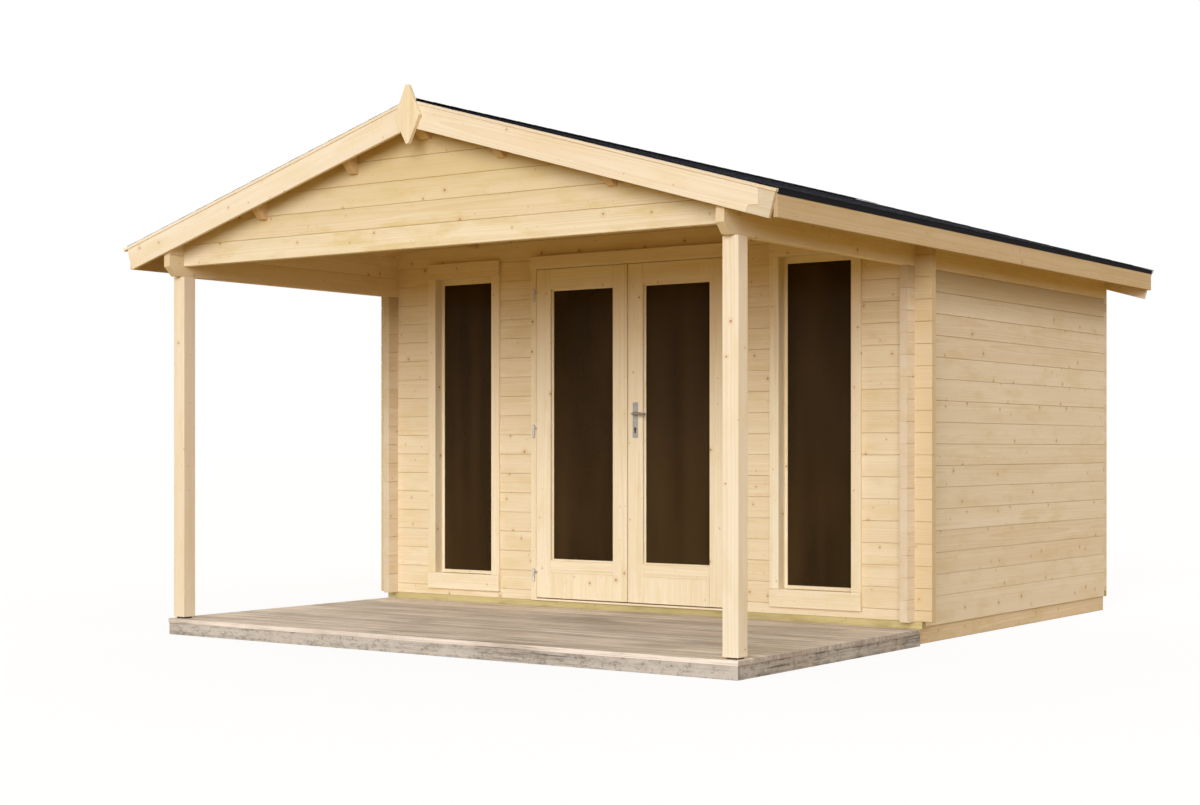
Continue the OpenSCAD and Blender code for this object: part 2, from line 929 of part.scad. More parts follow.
// One leaf with its glass opening
module door_leaf(s) {
    x0 = leaf_gap / 2;
    gw = leaf_width - 2 * stile;
    gh = leaf_height - top_rail - bottom_rail;
    color("#e2c692")
        difference() {
            translate([s > 0 ? x0 : -x0 - leaf_width, leaf_y, leaf_z])
                cube([leaf_width, leaf_thick, leaf_height]);
            translate([s > 0 ? x0 + stile : -x0 - leaf_width + stile, leaf_y - 1, leaf_z + bottom_rail])
                cube([gw, leaf_thick + 2, gh]);
            translate([s > 0 ? x0 + stile - pane_edge : -x0 - leaf_width + stile - pane_edge,
                leaf_y + leaf_pane - pane / 2, leaf_z + bottom_rail - pane_edge])
                cube([gw + 2 * pane_edge, pane, gh + 2 * pane_edge]);
        }
}

module left_door() {
    door_leaf(-1);
}

module right_door() {
    difference() {
        door_leaf(1);
        color("#e2c692")
            translate([lever_x, leaf_y - 1, lever_z])
                rotate([-90, 0, 0])
                    cylinder(d = lever_dia + 2 * spindle_play, h = leaf_thick + 2);
    }
}

module leaf_glass(s) {
    x0 = leaf_gap / 2;
    gw = leaf_width - 2 * stile;
    gh = leaf_height - top_rail - bottom_rail;
    color("#3a2a1a", 0.6)
        translate([s > 0 ? x0 + stile - pane_edge : -x0 - leaf_width + stile - pane_edge,
            leaf_y + leaf_pane - pane / 2, leaf_z + bottom_rail - pane_edge])
            cube([gw + 2 * pane_edge, pane, gh + 2 * pane_edge]);
}

module left_door_glass() {
    leaf_glass(-1);
}

module right_door_glass() {
    leaf_glass(1);
}

// Long plates on both faces of the right leaf
module handle_plates() {
    color("#9d998f")
        for (y = [leaf_y - plate_thick, leaf_y + leaf_thick])
            difference() {
                translate([lever_x - plate_width / 2, y, lever_z - plate_height * 0.68])
                    cube([plate_width, plate_thick, plate_height]);
                translate([lever_x, y - 1, lever_z])
                    rotate([-90, 0, 0])
                        cylinder(d = lever_dia + 2 * spindle_play, h = plate_thick + 2);
                translate([lever_x, y - 1, lever_z - key_drop])
                    rotate([-90, 0, 0])
                        cylinder(d = key_dia, h = plate_thick + 2);
                translate([lever_x - key_dia * 0.3, y - 1, lever_z - key_drop - key_dia * 2.2])
                    cube([key_dia * 0.6, plate_thick + 2, key_dia * 2.2]);
            }
}

// Spindle through the leaf with a lever on each side
module door_lever() {
    y0 = leaf_y - lever_reach;
    y1 = leaf_y + leaf_thick + lever_reach;
    color("#a7a39a")
        translate([lever_x, 0, lever_z]) {
            translate([0, y0, 0])
                rotate([-90, 0, 0])
                    cylinder(d = lever_dia, h = y1 - y0);
            for (y = [y0 + lever_dia / 2, y1 - lever_dia / 2])
                translate([0, y, 0])
                    rotate([0, 90, 0])
                        cylinder(d = lever_dia, h = lever_length);
        }
}

bearers();
floor_joists();
floor_boards();
front_sill();
rear_sill();
left_wall();
right_wall();
rear_wall();
front_wall_left();
front_wall_right();
front_gable();
left_eaves_beam();
right_eaves_beam();
porch_gable();
left_post();
right_post();
post_pads();
deck_joists();
deck_fascia();
deck_boards();
ridge_purlin();
purlins();
left_roof_boards();
right_roof_boards();
left_felt();
right_felt();
ridge_felt();
front_left_barge();
front_right_barge();
rear_left_barge();
rear_right_barge();
barge_splice();
finial();
left_fascia();
right_fascia();
left_window_frame();
left_window_glass();
right_window_frame();
right_window_glass();
door_frame();
door_head_board();
frame_hinges();
left_door();
left_door_glass();
left_hinges();
right_door();
right_door_glass();
right_hinges();
handle_plates();
door_lever();
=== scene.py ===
import math
import random

import bmesh
import bpy
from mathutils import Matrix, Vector


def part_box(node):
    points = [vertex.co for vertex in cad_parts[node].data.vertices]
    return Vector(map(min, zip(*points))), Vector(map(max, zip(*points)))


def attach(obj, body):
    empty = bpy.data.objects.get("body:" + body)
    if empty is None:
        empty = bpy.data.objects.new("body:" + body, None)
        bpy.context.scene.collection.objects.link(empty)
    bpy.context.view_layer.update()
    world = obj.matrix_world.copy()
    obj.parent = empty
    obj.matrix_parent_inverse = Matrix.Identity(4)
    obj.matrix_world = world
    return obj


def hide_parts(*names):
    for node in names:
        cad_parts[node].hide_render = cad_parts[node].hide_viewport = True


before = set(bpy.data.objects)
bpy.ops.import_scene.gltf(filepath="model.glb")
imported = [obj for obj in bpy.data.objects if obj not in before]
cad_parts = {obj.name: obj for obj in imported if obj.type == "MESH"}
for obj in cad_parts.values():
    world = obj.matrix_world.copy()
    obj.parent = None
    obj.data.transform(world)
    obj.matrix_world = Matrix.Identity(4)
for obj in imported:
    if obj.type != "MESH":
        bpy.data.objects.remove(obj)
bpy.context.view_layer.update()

bl_info = {
    "name": "Garden Shed Dressing",
    "version": (1, 0, 0),
    "blender": (4, 5, 0),
    "location": "View3D > Sidebar > Shed",
    "description": "Builds the timber, felt, glass and ironmongery of a log-walled garden shed",
    "category": "Object",
}


def low(node):
    """Lowest corner of a CAD node."""
    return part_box(node)[0]


def high(node):
    """Highest corner of a CAD node."""
    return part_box(node)[1]


# Planes of the building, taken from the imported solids
HALF = high("right_wall").x
INNER = low("right_wall").x
THICK = HALF - INNER
STUB_X = high("front_wall_right").x
STUB_Y = low("right_wall").y
WALL_Y = low("front_sill").y
REAR_Y = high("rear_wall").y
GABLE_Y = low("porch_gable").y
BASE_Z = low("front_wall_left").z
BEAM_Z = low("left_eaves_beam").z
HEAD_JOINT = high("front_wall_left").z
DOOR_SIDE = low("front_wall_right").x
ROOF_FRONT = low("right_roof_boards").y
ROOF_REAR = high("right_roof_boards").y
ROOF_EDGE = high("right_roof_boards").x

# Wall logs, and the window holes in them
SIDE_LOGS = 16
LOG = (BEAM_Z - BASE_Z) / SIDE_LOGS
NECK = LOG / 4
FIRST = BASE_Z + LOG / 2
TOP_LOG = 0.020
WINDOW_HOLE = 0.240
WINDOW_FOOT = BASE_Z + 0.113
WINDOW_HEAD = BASE_Z + 1.941

# Roof section
PITCH = math.radians(16.15)
RISE, FLAT, SLANT = math.tan(PITCH), math.cos(PITCH), math.sin(PITCH)
ROOF_BOARD = 0.018
TRIM = 0.020
EAVES = ROOF_EDGE + TRIM
FELT_EDGE = EAVES + 0.008
VERGE = 0.028
CAP = 0.016
BARGE = {"front": 0.116, "rear": 0.166}
RIDGE_Z = high("right_roof_boards").z - ROOF_BOARD / FLAT
SEAT = 0.0003
PURLIN = 0.155
PURLIN_NOSE = 0.080
PURLINS = (0.478, 1.122)
RIDGE_PURLIN = PURLIN + 0.006
RIDGE_HALF = 0.030

UP, ALONG_X, ALONG_Y = Vector((0, 0, 1)), Vector((1, 0, 0)), Vector((0, 1, 0))
NOWHERE = (0, 0, 0)
EASED = 0.003
TINY = 1e-6
SHARP_ANGLE = 0.3
END_FACING = 0.6
BOX_SIDES = ((0, 1, 3, 2), (4, 6, 7, 5), (0, 4, 5, 1), (2, 3, 7, 6), (0, 2, 6, 4), (1, 5, 7, 3))


def under(x):
    """Underside of the roof boards over x."""
    return RIDGE_Z - abs(x) * RISE


def decked(x):
    """Top of the roof boards over x."""
    return under(x) + ROOF_BOARD / FLAT


def capped(x):
    """Top of the bargeboards over x, under their capping battens."""
    return decked(x) - SEAT - CAP / FLAT


def downhill(s):
    """The way down the slope on the left (-1) or right (1) side."""
    return Vector((s * FLAT, 0, -SLANT))


def sided(s, outline):
    """An outline of the right side, turned over for the left one."""
    return [(s * x, z) for x, z in outline]


# Settings

# Use, early wood and late wood of each timber
WOODS = {
    "log": ("wall logs", (0.855, 0.715, 0.465), (0.725, 0.53, 0.272)),
    # The side-wall and gable copies of the log wood are the ones that carry the painted shade bands
    "side": ("side walls", (0.82, 0.695, 0.495), (0.68, 0.505, 0.295)),
    "gable": ("porch gable logs", (0.865, 0.735, 0.495), (0.715, 0.535, 0.285)),
    "trim": ("planed boards", (0.89, 0.78, 0.575), (0.77, 0.585, 0.355)),
    "joinery": ("doors and windows", (0.89, 0.76, 0.515), (0.76, 0.575, 0.315)),
    # The fascia colours are darker than the other planed boards: partly the wood's own tone, partly painted
    # shade of the felt that overhangs them
    "fascia": ("eaves fascias", (0.62, 0.455, 0.25), (0.52, 0.345, 0.155)),
    "roof": ("roof and floor boards", (0.78, 0.57, 0.31), (0.60, 0.38, 0.16)),
    "sill": ("treated sills", (0.63, 0.515, 0.225), (0.34, 0.25, 0.09)),
    "bearer": ("sawn bearers", (0.80, 0.635, 0.40), (0.60, 0.44, 0.235)),
    "deck": ("weathered deck boards", (0.92, 0.80, 0.66), (0.37, 0.30, 0.225)),
    "edge": ("weathered boards round the deck", (0.585, 0.525, 0.435), (0.25, 0.215, 0.17)),
}
# Use and colour of everything else
PLAIN = {
    "knot": ("Heart of a knot", (0.36, 0.165, 0.058)),
    "felt": ("Mineral surface of the roofing felt", (0.0105, 0.0112, 0.0138)),
    # The pane colour is nearly black-brown and kept nearly opaque: painted shade standing in for the dark
    # inside seen through the glass
    "pane": ("Tint of the panes", (0.036, 0.0206, 0.0076)),
    "steel": ("Satin steel of the door furniture", (0.52, 0.50, 0.46)),
    "hinge": ("Zinc-coated hinges and nails", (0.66, 0.62, 0.54)),
    "lock": ("Dark brass of the lock cylinder", (0.085, 0.075, 0.06)),
    "pad": ("Rubber under the posts", (0.035, 0.033, 0.030)),
}


def length(name, description, default):
    return bpy.props.FloatProperty(
        name=name, description=description, default=default, min=0.0, precision=4, unit="LENGTH"
    )


def colour(name, description, default):
    return bpy.props.FloatVectorProperty(
        name=name, description=description, default=default, size=3, min=0.0, max=1.0, subtype="COLOR"
    )


class ShedSizes(bpy.types.PropertyGroup):
    """Sizes of the fine work that the solids leave plain"""

    log_chamfer: length("Log chamfer", "Chamfer along the joints of the wall logs", 0.0024)
    log_gap: length("Log gap", "Open joint left at the face between two logs", 0.0005)
    log_end: length("Log end", "Easing of the joints at the log ends", 0.0020)
    ease: length("Eased edge", "Rounding of planed boards", 0.0022)
    deck_board: length("Deck board", "Width of one deck board with its gap", 0.1195)
    deck_gap: length("Deck gap", "Gap between two deck boards", 0.0018)
    roof_board: length("Roof board", "Width of one roof board", 0.096)
    floor_board: length("Floor board", "Width of one floor board", 0.096)
    tab_width: length("Shingle tab", "Width of one shingle tab", 0.333)
    tab_show: length("Shingle course", "Height of each course that shows", 0.143)
    tab_slot: length("Shingle slot", "Slot between two tabs", 0.007)
    tab_thick: length("Shingle thickness", "Thickness of one shingle", 0.0017)
    nail_spacing: length("Nail spacing", "Distance between two nails in the trims", 0.42)


def colour_settings():
    made = {}
    for key, (use, pale, dark) in WOODS.items():
        made[key + "_pale"] = colour(f"{key.capitalize()}, pale", f"Early wood of the {use}", pale)
        made[key + "_dark"] = colour(f"{key.capitalize()}, dark", f"Late wood of the {use}", dark)
    for key, (use, shade) in PLAIN.items():
        made[key] = colour(key.capitalize(), use, shade)
    return made


class ShedColours(bpy.types.PropertyGroup):
    """Colours of the finishes"""

    __annotations__ = colour_settings()


def sizes():
    return bpy.context.scene.shed_sizes


# Node trees


def pick(sockets, key):
    """The socket in use that has this number or this name."""
    live = [s for s in sockets if s.enabled]
    return live[key] if isinstance(key, int) else [s for s in live if s.name == key][0]


def maths(operation, swapped=False):
    """An operator of Wire, which adds a Math node."""

    def method(self, other):
        return self.bench.reckon(operation, *((other, self) if swapped else (self, other)))

    return method


class Wire:
    """A socket of a node tree, with Python's operators for the maths on it."""

    def __init__(self, bench, socket):
        self.bench, self.socket = bench, socket

    def other(self, key):
        """Another socket of the same node."""
        return Wire(self.bench, pick(self.socket.node.outputs, key))

    __add__, __radd__ = maths("ADD"), maths("ADD", True)
    __sub__, __rsub__ = maths("SUBTRACT"), maths("SUBTRACT", True)
    __mul__, __rmul__ = maths("MULTIPLY"), maths("MULTIPLY", True)
    __truediv__ = maths("DIVIDE")
    __gt__ = maths("GREATER_THAN")


class Bench:
    """A node tree being wired."""

    def __init__(self, tree):
        self.tree = tree
        tree.nodes.clear()

    def node(self, kind, settings=None, sockets=None, out=0):
        made = self.tree.nodes.new(kind)
        for name, value in (settings or {}).items():
            setattr(made, name, value)
        for key, value in (sockets or {}).items():
            socket = pick(made.inputs, key)
            if isinstance(value, Wire):
                self.tree.links.new(value.socket, socket)
            else:
                socket.default_value = (*value, 1.0) if socket.type == "RGBA" else value
        return Wire(self, pick(made.outputs, out)) if made.outputs else None

    def reckon(self, operation, *values):
        return self.node("ShaderNodeMath", {"operation": operation}, dict(enumerate(values)))

    def vectors(self, operation, *values):
        return self.node("ShaderNodeVectorMath", {"operation": operation}, dict(enumerate(values)))


class Finish(Bench):
    """The shader tree of a new material."""

    def __init__(self, name):
        self.made = bpy.data.materials.new(name)
        self.made.use_nodes = True
        super().__init__(self.made.node_tree)

    def place(self):
        return self.node("ShaderNodeTexCoord", out="Object")

    def mark(self, name, out="Fac"):
        """An attribute of the mesh."""
        return self.node("ShaderNodeAttribute", {"attribute_name": name}, out=out)

    def parts(self, vector):
        """The three numbers of a vector."""
        split = self.node("ShaderNodeSeparateXYZ", {}, {0: vector})
        return [split.other(i) for i in range(3)]

    def vector(self, x, y, z):
        return self.node("ShaderNodeCombineXYZ", {}, {0: x, 1: y, 2: z})

    def cloud(self, vector, scale, detail=2.0, roughness=0.5):
        """Noise of one scale, or of one for each direction."""
        if isinstance(scale, tuple):
            vector, scale = self.vectors("MULTIPLY", vector, scale), 1.0
        sockets = {"Vector": vector, "Scale": scale, "Detail": detail, "Roughness": roughness}
        return self.node("ShaderNodeTexNoise", {}, sockets)

    def cells(self, vector, scale=1.0, **settings):
        return self.node("ShaderNodeTexVoronoi", settings, {"Vector": vector, "Scale": scale})

    def ease(self, value, start, end):
        """0 before start, 1 after end, smooth between."""
        sockets = {"Value": value, "From Min": start, "From Max": end}
        return self.node("ShaderNodeMapRange", {"interpolation_type": "SMOOTHSTEP"}, sockets)

    def blend(self, factor, a, b):
        settings = {"data_type": "RGBA", "clamp_factor": True}
        return self.node("ShaderNodeMix", settings, {0: factor, 1: a, 2: b})

    def surface(self, shade, rough, bump=None, **more):
        """Closes the tree. A bump is (height, strength, distance)."""
        sockets = {"Base Color": shade, "Roughness": rough}
        sockets |= {name.replace("_", " "): value for name, value in more.items()}
        if bump:
            relief = dict(zip(("Height", "Strength", "Distance"), bump))
            sockets["Normal"] = self.node("ShaderNodeBump", {}, relief)
        self.close(self.node("ShaderNodeBsdfPrincipled", {}, sockets))
        return self.made

    def close(self, shader):
        self.node("ShaderNodeOutputMaterial", {}, {"Surface": shader})


def toned(shade, *factors):
    """A colour times one factor, or times one for each channel."""
    return tuple(f * c for f, c in zip(factors * (3 // len(factors)), shade))


# Finishes

GRAIN_AXES = {"X": (0, 2, 1), "Y": (1, 2, 0)}


def grain_of(b, axis):
    """Grain coordinates (along, across, through), the tone and the end-grain mark of the board."""
    if axis is None:
        return b.mark("grain", "Vector"), b.mark("tone"), b.mark("end")
    place = b.parts(b.place())
    return b.vector(*[place[i] for i in GRAIN_AXES[axis]]), 0.5, 0.0


def knot_cells(b, along, across, scale, least, spread, share):
    """Distance to the nearest knot of a scattered lot, its radius, and 1 for the share that is kept."""
    cells = b.cells(b.vector(along * scale, across * scale, 0.0), voronoi_dimensions="2D")
    chance = b.node("ShaderNodeSeparateColor", {}, {0: cells.other("Color")})
    girth = chance.other(1)
    return cells, girth * girth * spread + least, chance > (1.0 - share)


def timber(name, woods, knot, axis=None, streaks=0.55, mottle=0.5, tones=0.28, knots=0.5, painted_shade_band=None):
    """Planed softwood: rings round a pith, fibres, knots and a tone for each board.
    Over the heights of a painted shade band (from, to, depth) the colour darkens upwards towards the late
    wood scaled by the depth: painted shade under the eaves and the bargeboards."""
    b = Finish(name)
    pale, dark = woods
    run, tone, end = grain_of(b, axis)
    u, v, w = b.parts(run)
    wave = b.cloud(run, (3.0, 55.0, 55.0), 1.0)
    far, size, picked = knot_cells(b, u, v + w * 0.73, 7.0, 0.018, 0.050, knots)
    far, picked = far + (wave - 0.5) * 0.024, picked * (1.0 - end)
    heart = picked * (1.0 - b.ease(far, size * 0.6, size))
    halo = picked * (1.0 - b.ease(far, size, size * 4.0))
    far, size, picked = knot_cells(b, u, v - w * 0.61, 15.0, 0.030, 0.040, knots * 0.8)
    pins = picked * (1.0 - end) * (1.0 - b.ease(far, size * 0.5, size))
    wander = b.cloud(run, (0.55, 3.2, 3.2))
    radius = b.reckon("SQRT", v * v + w * w)
    reach = radius + (wander - 0.5) * 0.03 + halo * 0.008
    late = b.ease(b.reckon("FRACT", reach * 125.0), 0.25, 0.95)
    fibre = b.cloud(run, (4.0, 210.0, 210.0), 3.0, 0.6)
    band = b.cloud(run, (0.8, 26.0, 26.0))
    patch = b.cloud(run, (0.9, 5.0, 5.0))
    mix = late * 0.30 + (fibre - 0.5) * streaks + (band - 0.5) * streaks + (patch - 0.5) * mottle
    shade = b.blend(mix + (tone - 0.5) * tones + 0.22, pale, dark)
    blush = b.ease(b.cloud(run, (3.4, 11.0, 11.0), 3.0, 0.6), 0.46, 0.72)
    shade = b.blend(blush * mottle * 0.7, shade, toned(dark, 0.94, 0.95, 0.66))
    # Painted shade: darker towards the top of the band, standing in for the shade of the eaves or bargeboards
    if painted_shade_band:
        start, stop, deep = painted_shade_band
        shade_share = b.ease(b.parts(b.place())[2], start, stop)
        shade = b.blend(shade_share * 0.75, shade, toned(dark, deep, deep * 0.98, deep * 0.80))
    shade = b.blend(halo * 0.30, shade, toned(dark, 0.9, 0.78, 0.6))
    shade = b.blend(heart * 0.8, shade, knot)
    shade = b.blend(pins * 0.42, shade, knot)
    shade = b.blend(end * 0.35, shade, toned(dark, 0.85))
    if axis is None:
        # Painted shade on the marked faces, such as the front log stubs past the side walls
        shade = b.blend(b.mark("worn"), shade, toned(dark, 0.80, 0.76, 0.70))
    rough = 0.50 + fibre * 0.16 + late * 0.06
    height = fibre * 0.55 + late * 0.45 - heart * 0.5
    return b.surface(shade, rough, (height, 0.22, 0.0007), Specular_IOR_Level=0.32)


def weathered(name, woods, knot, axis=None, crazed=False):
    """Deck timber gone grey: raised fibres, drying cracks, stains and specks.
    A crazed face is broken up by short cracks and worn patches as well."""
    b = Finish(name)
    pale, dark = woods
    run, tone, end = grain_of(b, axis)
    place = b.place()
    fibre = b.cloud(run, (3.0, 170.0, 170.0), 4.0, 0.65)
    band = b.cloud(run, (0.7, 30.0, 30.0), 3.0, 0.6)
    stain = b.cloud(place, (1.6, 3.4, 3.4), 5.0, 0.65)
    speck = b.cloud(place, 95.0)
    crack = b.cloud(run, (2.2, 120.0, 120.0), 1.0)
    split = b.ease(crack, 0.60, 0.68) * b.ease(stain, 0.40, 0.60)
    mix = (fibre - 0.5) * 1.6 + (band - 0.5) * 1.9 + (stain - 0.5) * 1.4 + (tone - 0.5) * 0.3 + 0.29
    height = fibre * 0.8 + band * 0.4 - split * 1.2
    if crazed:
        bent = b.vectors("ADD", b.vectors("MULTIPLY", run, (26.0, 44.0, 44.0)), speck.other("Color"))
        worn = b.cloud(run, (14.0, 30.0, 30.0), 4.0, 0.7)
        rim = b.cells(bent, feature="DISTANCE_TO_EDGE")
        craze = (1.0 - b.ease(rim, 0.01, 0.09)) * b.ease(worn, 0.44, 0.60)
        mix = mix + (worn - 0.5) * 1.5
        height = height - craze
    shade = b.blend(mix, pale, dark)
    warm = b.ease(b.cloud(place, 2.1, 3.0), 0.40, 0.70)
    shade = b.blend(warm * 0.35, shade, (0.46, 0.36, 0.25))
    shade = b.blend(split * 0.75, shade, toned(dark, 0.30))
    if crazed:
        shade = b.blend(craze * 0.6, shade, toned(dark, 0.40))
    shade = b.blend(b.ease(speck, 0.66, 0.74) * 0.55, shade, knot)
    shade = b.blend(end * 0.55, shade, toned(dark, 0.7))
    return b.surface(shade, 0.72 + fibre * 0.2, (height, 0.5, 0.0015), Specular_IOR_Level=0.25)


def felt_finish(name, base):
    """Bitumen felt with a dull mineral grit."""
    b = Finish(name)
    grit = b.cells(b.place(), 420.0)
    fleck = b.node("ShaderNodeSeparateColor", {}, {0: grit.other("Color")})
    cloud = b.cloud(b.place(), 1.6, 4.0)
    mix = fleck * 0.45 + (cloud - 0.5) * 0.6 + (b.mark("tone") - 0.5) * 0.6 + 0.18
    shade = b.blend(mix, base, toned(base, 2.6))
    return b.surface(shade, 0.82 + fleck * 0.15, (grit, 0.35, 0.0012), Specular_IOR_Level=0.1)


def pane_finish(name, tint):
    """Dark glass, nearly opaque: its colour is painted shade standing in for the dark inside seen through it,
    with a trace of dust and a painted sheen of reflection.
    """
    b = Finish(name)
    dust = b.cloud(b.place(), (3.0, 3.0, 1.2), 4.0)
    # Painted reflection: soft lighter streaks across the pane
    painted_sheen = b.cloud(b.place(), (5.5, 5.5, 0.3), 1.0)
    shade = b.blend(b.ease(dust, 0.4, 0.75) * 0.35, tint, toned(tint, 2.2))
    shade = b.blend(b.ease(painted_sheen, 0.45, 0.72) * 0.28, shade, toned(tint, 2.8))
    # Alpha near one keeps the painted dark of the pane in front of the inside
    return b.surface(shade, 0.03 + dust * 0.05, Specular_IOR_Level=0.02, Alpha=0.92 + dust * 0.04)


def metal_finish(name, base, rough, metallic=1.0):
    """Satin metal, brushed along its length."""
    b = Finish(name)
    brush = b.cloud(b.place(), (900.0, 900.0, 40.0))
    dull = b.cloud(b.place(), 24.0, 3.0)
    shade = b.blend(b.ease(dull, 0.35, 0.75) * 0.5, base, toned(base, 0.62))
    worn = rough + (brush - 0.5) * 0.18 + (dull - 0.5) * 0.1
    return b.surface(shade, worn, (brush, 0.08, 0.0002), Metallic=metallic)


def pad_finish(name, base):
    """Dull rubber."""
    b = Finish(name)
    grit = b.cloud(b.place(), 240.0, 3.0)
    return b.surface(b.blend(grit, base, toned(base, 2.2)), 0.8 + grit * 0.15, (grit, 0.3, 0.0006))


FINISH = {}


def make_finishes():
    c = bpy.context.scene.shed_colours
    knot = tuple(c.knot)

    def woods(key, factor=1.0):
        return [toned(getattr(c, f"{key}_{face}"), factor) for face in ("pale", "dark")]

    # Painted shade bands: the top logs of the side walls under the eaves, and the porch gable under the
    # bargeboards
    side_painted_shade = (BEAM_Z - 2.2 * LOG, BEAM_Z, 0.66)
    gable_painted_shade = (BEAM_Z + LOG / 2, RIDGE_Z - 2 * LOG, 0.92)
    FINISH.update(
        log=timber("log_spruce", woods("log"), knot),
        side=timber("side_spruce", woods("side"), knot, painted_shade_band=side_painted_shade),
        gable=timber("gable_spruce", woods("gable"), knot, mottle=0.9, painted_shade_band=gable_painted_shade),
        trim=timber("planed_spruce", woods("trim"), knot, mottle=0.4, tones=0.30, knots=0.34),
        joinery=timber("joinery_spruce", woods("joinery"), knot, mottle=0.45, knots=0.38),
        fascia=timber("eaves_spruce", woods("fascia"), knot, knots=0.34),
        finial=timber("finial_spruce", woods("log"), knot, mottle=0.8),
        patch=timber("aged_spruce", woods("trim", 0.80), knot, knots=0.2),
        roof=timber("roof_spruce", woods("roof"), knot, tones=0.5),
        sill=timber("treated_pine", woods("sill"), knot, mottle=0.9, streaks=0.6, knots=0.4),
        bearer=timber("sawn_pine", woods("bearer"), knot, mottle=0.8),
        joist=timber("sawn_joist", woods("bearer"), knot, axis="X"),
        deck=weathered("weathered_deck", woods("deck"), knot),
        deck_edge=weathered("weathered_edge", woods("edge"), knot, crazed=True),
        deck_frame=weathered("weathered_joist", woods("edge", 0.86), knot, axis="Y", crazed=True),
        felt=felt_finish("mineral_felt", c.felt),
        pane=pane_finish("dark_pane", c.pane),
        steel=metal_finish("satin_steel", c.steel, 0.34),
        plate=metal_finish("brushed_plate", toned(c.steel, 0.95), 0.42, metallic=0.7),
        hinge=metal_finish("zinc_steel", c.hinge, 0.55, metallic=0.55),
        lock=metal_finish("dark_brass", c.lock, 0.5),
        pad=pad_finish("post_rubber", c.pad),
    )


# Boards


def add_object(name, data):
    made = bpy.data.objects.new(name, data)
    bpy.context.scene.collection.objects.link(made)
    return made


def settle(made, body, slot, *nodes):
    """Fixes a finished piece to its body and hides the solids it stands for; the slot is not used."""
    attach(made, body)
    if nodes:
        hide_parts(*nodes)


def dress(node, finish):
    """Gives a solid that stays as it is its finish."""
    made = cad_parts[node]
    made.data.materials.clear()
    made.data.materials.append(FINISH[finish])
    return made


def plain_mesh(name, shape, finish=None):
    """Turns a finished shape into a mesh, in its finish if it has one."""
    mesh = bpy.data.meshes.new(name)
    shape.to_mesh(mesh)
    shape.free()
    if finish:
        mesh.materials.append(FINISH[finish])
    return mesh


def at(limit, z):
    """A limit that is fixed, or that changes with the height."""
    return limit(z) if callable(limit) else limit


def hoops(n, first, second):
    """Faces between two closed rows of n corners, which start at these numbers."""
    return [(first + i, first + (i + 1) % n, second + (i + 1) % n, second + i) for i in range(n)]


